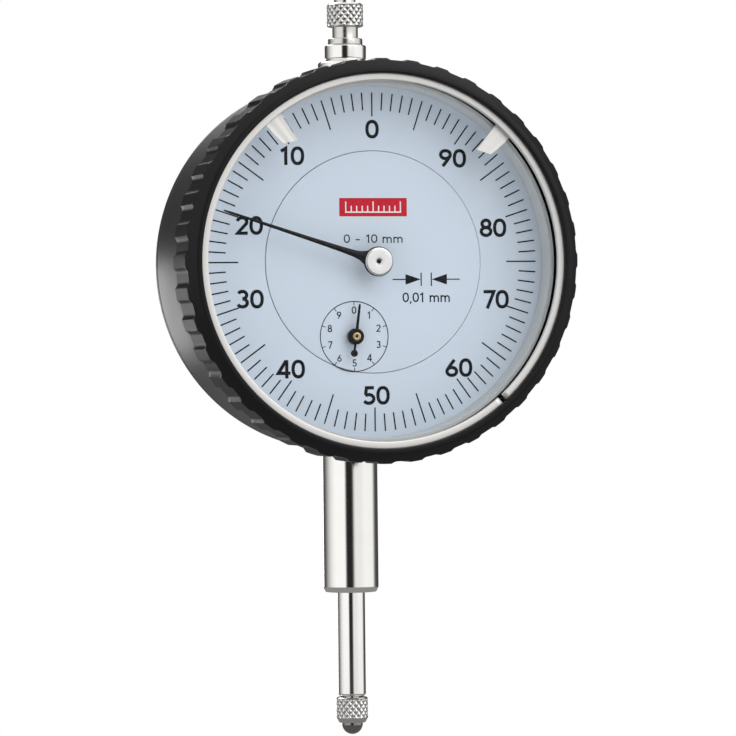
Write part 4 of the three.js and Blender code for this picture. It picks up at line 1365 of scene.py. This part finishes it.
# The studio's walls as (azimuth in degrees, brightness): 0 is in front of the dial, and the angle
# grows to the right.
STUDIO_WALLS = [
    *((-180, 0.04), (-152, 0.08), (-138, 0.18), (-122, 0.5), (-100, 0.95), (-80, 1.15)),
    *((-38, 1.15), (-31, 0.12), (-28, 0.02), (-9, 0.02), (-4, 0.12), (1, 0.7), (7, 0.96)),
    *((30, 0.98), (50, 1.1), (90, 1.05), (103, 0.35), (112, 0.08), (180, 0.04)),
]
# A direction's height, between 1 up and -1 down, at which the ceiling and the well fade in.
CEILING_FROM, CEILING_LEVEL = (0.5, 0.72), 1.1
WELL_FROM, WELL_LEVEL = (-0.12, -0.3), 0.3
# Each lamp's name, azimuth and height in degrees, distance, width and height in metres, and power.
LAMPS = [
    ("key", 30, 34, 1.0, 0.9, 0.9, 3.7),
    ("low_rear", -172, -4, 1.2, 0.22, 0.24, 0.44),
    ("high_rear", 178, 42, 0.9, 0.7, 0.4, 5.0),
]
FLOOR_R, FLOOR_Z, FLOOR_SIDES = 750.0, -90.0, 96
# The camera's place and the point it looks at, in millimetres, its lens and its roll in degrees.
CAMERA_PLACE, CAMERA_AIM = (-152.7, -584.4, 33.29), (2.90, 0.0, 32.37)
LENS, ROLL = 203.83, -0.61


class BuildStage(BuildOperator, bpy.types.Operator):
    """Sets the pale floor, the soft lights and the camera"""

    bl_idname = "indicator.stage"
    bl_label = "Stage"

    def floor(self):
        """A flat disc of paper: one fan of faces round its centre. It is kept out of the mirror
        images, as a black cloth would keep it in a studio, so that polished steel stays crisp."""
        angle = np.linspace(0, 2 * np.pi, FLOOR_SIDES, endpoint=False)
        rim = about_stem(FLOOR_R, FLOOR_Z, angle)
        points = np.vstack([rim, [[0, 0, FLOOR_Z]]]) * MM
        order = np.arange(FLOOR_SIDES)
        faces = np.stack([order, (order + 1) % FLOOR_SIDES, np.full(FLOOR_SIDES, FLOOR_SIDES)], -1)
        mesh = bpy.data.meshes.new("floor")
        mesh.from_pydata(points.tolist(), [], faces.tolist())
        mesh.materials.append(floor_paper(linear("#E2E2E2")))
        floor = bpy.data.objects.new("floor", mesh)
        floor.visible_glossy = False
        bpy.context.scene.collection.objects.link(floor)

    def soft_box(self, name, azimuth, elevation, distance, width, height, power):
        """A rectangular light at an angle round the dial's centre, facing it."""
        a, e = math.radians(azimuth), math.radians(elevation)
        back = Vector((math.sin(a) * math.cos(e), -math.cos(a) * math.cos(e), math.sin(e)))
        light = bpy.data.lights.new(name, "AREA")
        light.shape = "RECTANGLE"
        light.size, light.size_y = width, height
        light.energy = power
        lamp = bpy.data.objects.new(name, light)
        lamp.location = Vector((0, 0, DIAL_Z * MM)) + back * distance
        lamp.rotation_euler = back.to_track_quat("Z", "Y").to_euler()
        lamp.visible_camera = False
        bpy.context.scene.collection.objects.link(lamp)

    def camera(self):
        """A long lens level with the case and to its left."""
        place, aim = Vector(CAMERA_PLACE) * MM, Vector(CAMERA_AIM) * MM
        data = bpy.data.cameras.new("camera")
        data.lens, data.sensor_width = LENS, 36.0
        data.clip_start, data.clip_end = 0.01, 20.0
        camera = bpy.data.objects.new("camera", data)
        camera.location = place
        turn = (aim - place).to_track_quat("-Z", "Y").to_matrix().to_4x4()
        camera.rotation_euler = (turn @ Matrix.Rotation(math.radians(ROLL), 4, "Z")).to_euler()
        bpy.context.scene.collection.objects.link(camera)
        bpy.context.scene.camera = camera

    def world(self):
        """A round studio: two broad white walls with a dark gap behind the camera and a dark back,
        between a white ceiling and a dark well. A direction's azimuth and height give its
        brightness, and the camera sees plain white."""
        world = bpy.data.worlds.new("studio")
        world.use_nodes = True
        tree = world.node_tree
        tree.nodes.clear()
        output = add_node(tree, "ShaderNodeOutputWorld")
        direction = add_node(tree, "ShaderNodeTexCoord").outputs["Generated"]
        parts = add_node(tree, "ShaderNodeSeparateXYZ", {0: direction}).outputs
        toward = add_node(tree, "ShaderNodeMath", {0: parts["Y"], 1: -1.0}, operation="MULTIPLY")
        azimuth = add_node(
            tree, "ShaderNodeMath", {0: parts["X"], 1: toward.outputs[0]}, operation="ARCTAN2"
        )
        turn = add_node(
            tree,
            "ShaderNodeMapRange",
            {"Value": azimuth.outputs[0], "From Min": -math.pi, "From Max": math.pi},
        )
        walls = add_node(tree, "ShaderNodeValToRGB", {"Fac": turn.outputs[0]})
        stops = walls.color_ramp.elements
        while len(stops) < len(STUDIO_WALLS):
            stops.new(0.5)
        for stop, (degrees, level) in zip(stops, STUDIO_WALLS):
            stop.position = (degrees + 180) / 360
            stop.color = (level, level, level, 1.0)
        room = walls.outputs[0]
        for (start, end), level in ((CEILING_FROM, CEILING_LEVEL), (WELL_FROM, WELL_LEVEL)):
            fade = add_node(
                tree,
                "ShaderNodeMapRange",
                {"Value": parts["Z"], "From Min": start, "From Max": end},
                interpolation_type="SMOOTHSTEP",
            )
            room = two_tone(tree, fade.outputs[0], room, [level] * 3)
        fill = add_node(tree, "ShaderNodeBackground", {"Color": room, "Strength": 1.0})
        seen = add_node(tree, "ShaderNodeBackground", {"Color": (1, 1, 1, 1), "Strength": 1.0})
        path = add_node(tree, "ShaderNodeLightPath")
        mix = add_node(
            tree,
            "ShaderNodeMixShader",
            {0: path.outputs["Is Camera Ray"], 1: fill.outputs[0], 2: seen.outputs[0]},
        )
        tree.links.new(mix.outputs[0], output.inputs["Surface"])
        bpy.context.scene.world = world

    def execute(self, context):
        self.floor()
        for lamp in LAMPS:
            self.soft_box(*lamp)
        self.camera()
        self.world()
        bpy.context.scene.view_settings.view_transform = "Standard"
        return {"FINISHED"}


OPERATORS = [
    BuildCase,
    BuildBackCover,
    BuildStem,
    BuildKnob,
    BuildSpindle,
    BuildContact,
    BuildBezel,
    BuildCrystal,
    BuildDials,
    PrintScale,
    PrintDial,
    PrintLabel,
    BuildMainHand,
    BuildSmallHand,
    BuildMarkers,
    FinishMovement,
    BuildStage,
]


class IndicatorPanel(bpy.types.Panel):
    """Lists the building steps and the settings"""

    bl_idname = "VIEW3D_PT_indicator"
    bl_label = "Dial indicator"
    bl_space_type = "VIEW_3D"
    bl_region_type = "UI"
    bl_category = "Indicator"

    def draw(self, context):
        for group in (context.scene.indicator_sizes, context.scene.indicator_colours):
            column = self.layout.column(align=True)
            for name in group.__annotations__:
                column.prop(group, name)
        column = self.layout.column(align=True)
        for operator in OPERATORS:
            column.operator(operator.bl_idname)


CLASSES = [IndicatorSizes, IndicatorColours, *OPERATORS, IndicatorPanel]


def register():
    for cls in CLASSES:
        bpy.utils.register_class(cls)
    bpy.types.Scene.indicator_sizes = bpy.props.PointerProperty(type=IndicatorSizes)
    bpy.types.Scene.indicator_colours = bpy.props.PointerProperty(type=IndicatorColours)


def unregister():
    del bpy.types.Scene.indicator_colours
    del bpy.types.Scene.indicator_sizes
    for cls in reversed(CLASSES):
        bpy.utils.unregister_class(cls)


def main():
    register()
    for operator in OPERATORS:
        group, name = operator.bl_idname.split(".")
        getattr(getattr(bpy.ops, group), name)()


if __name__ == "__main__":
    main()
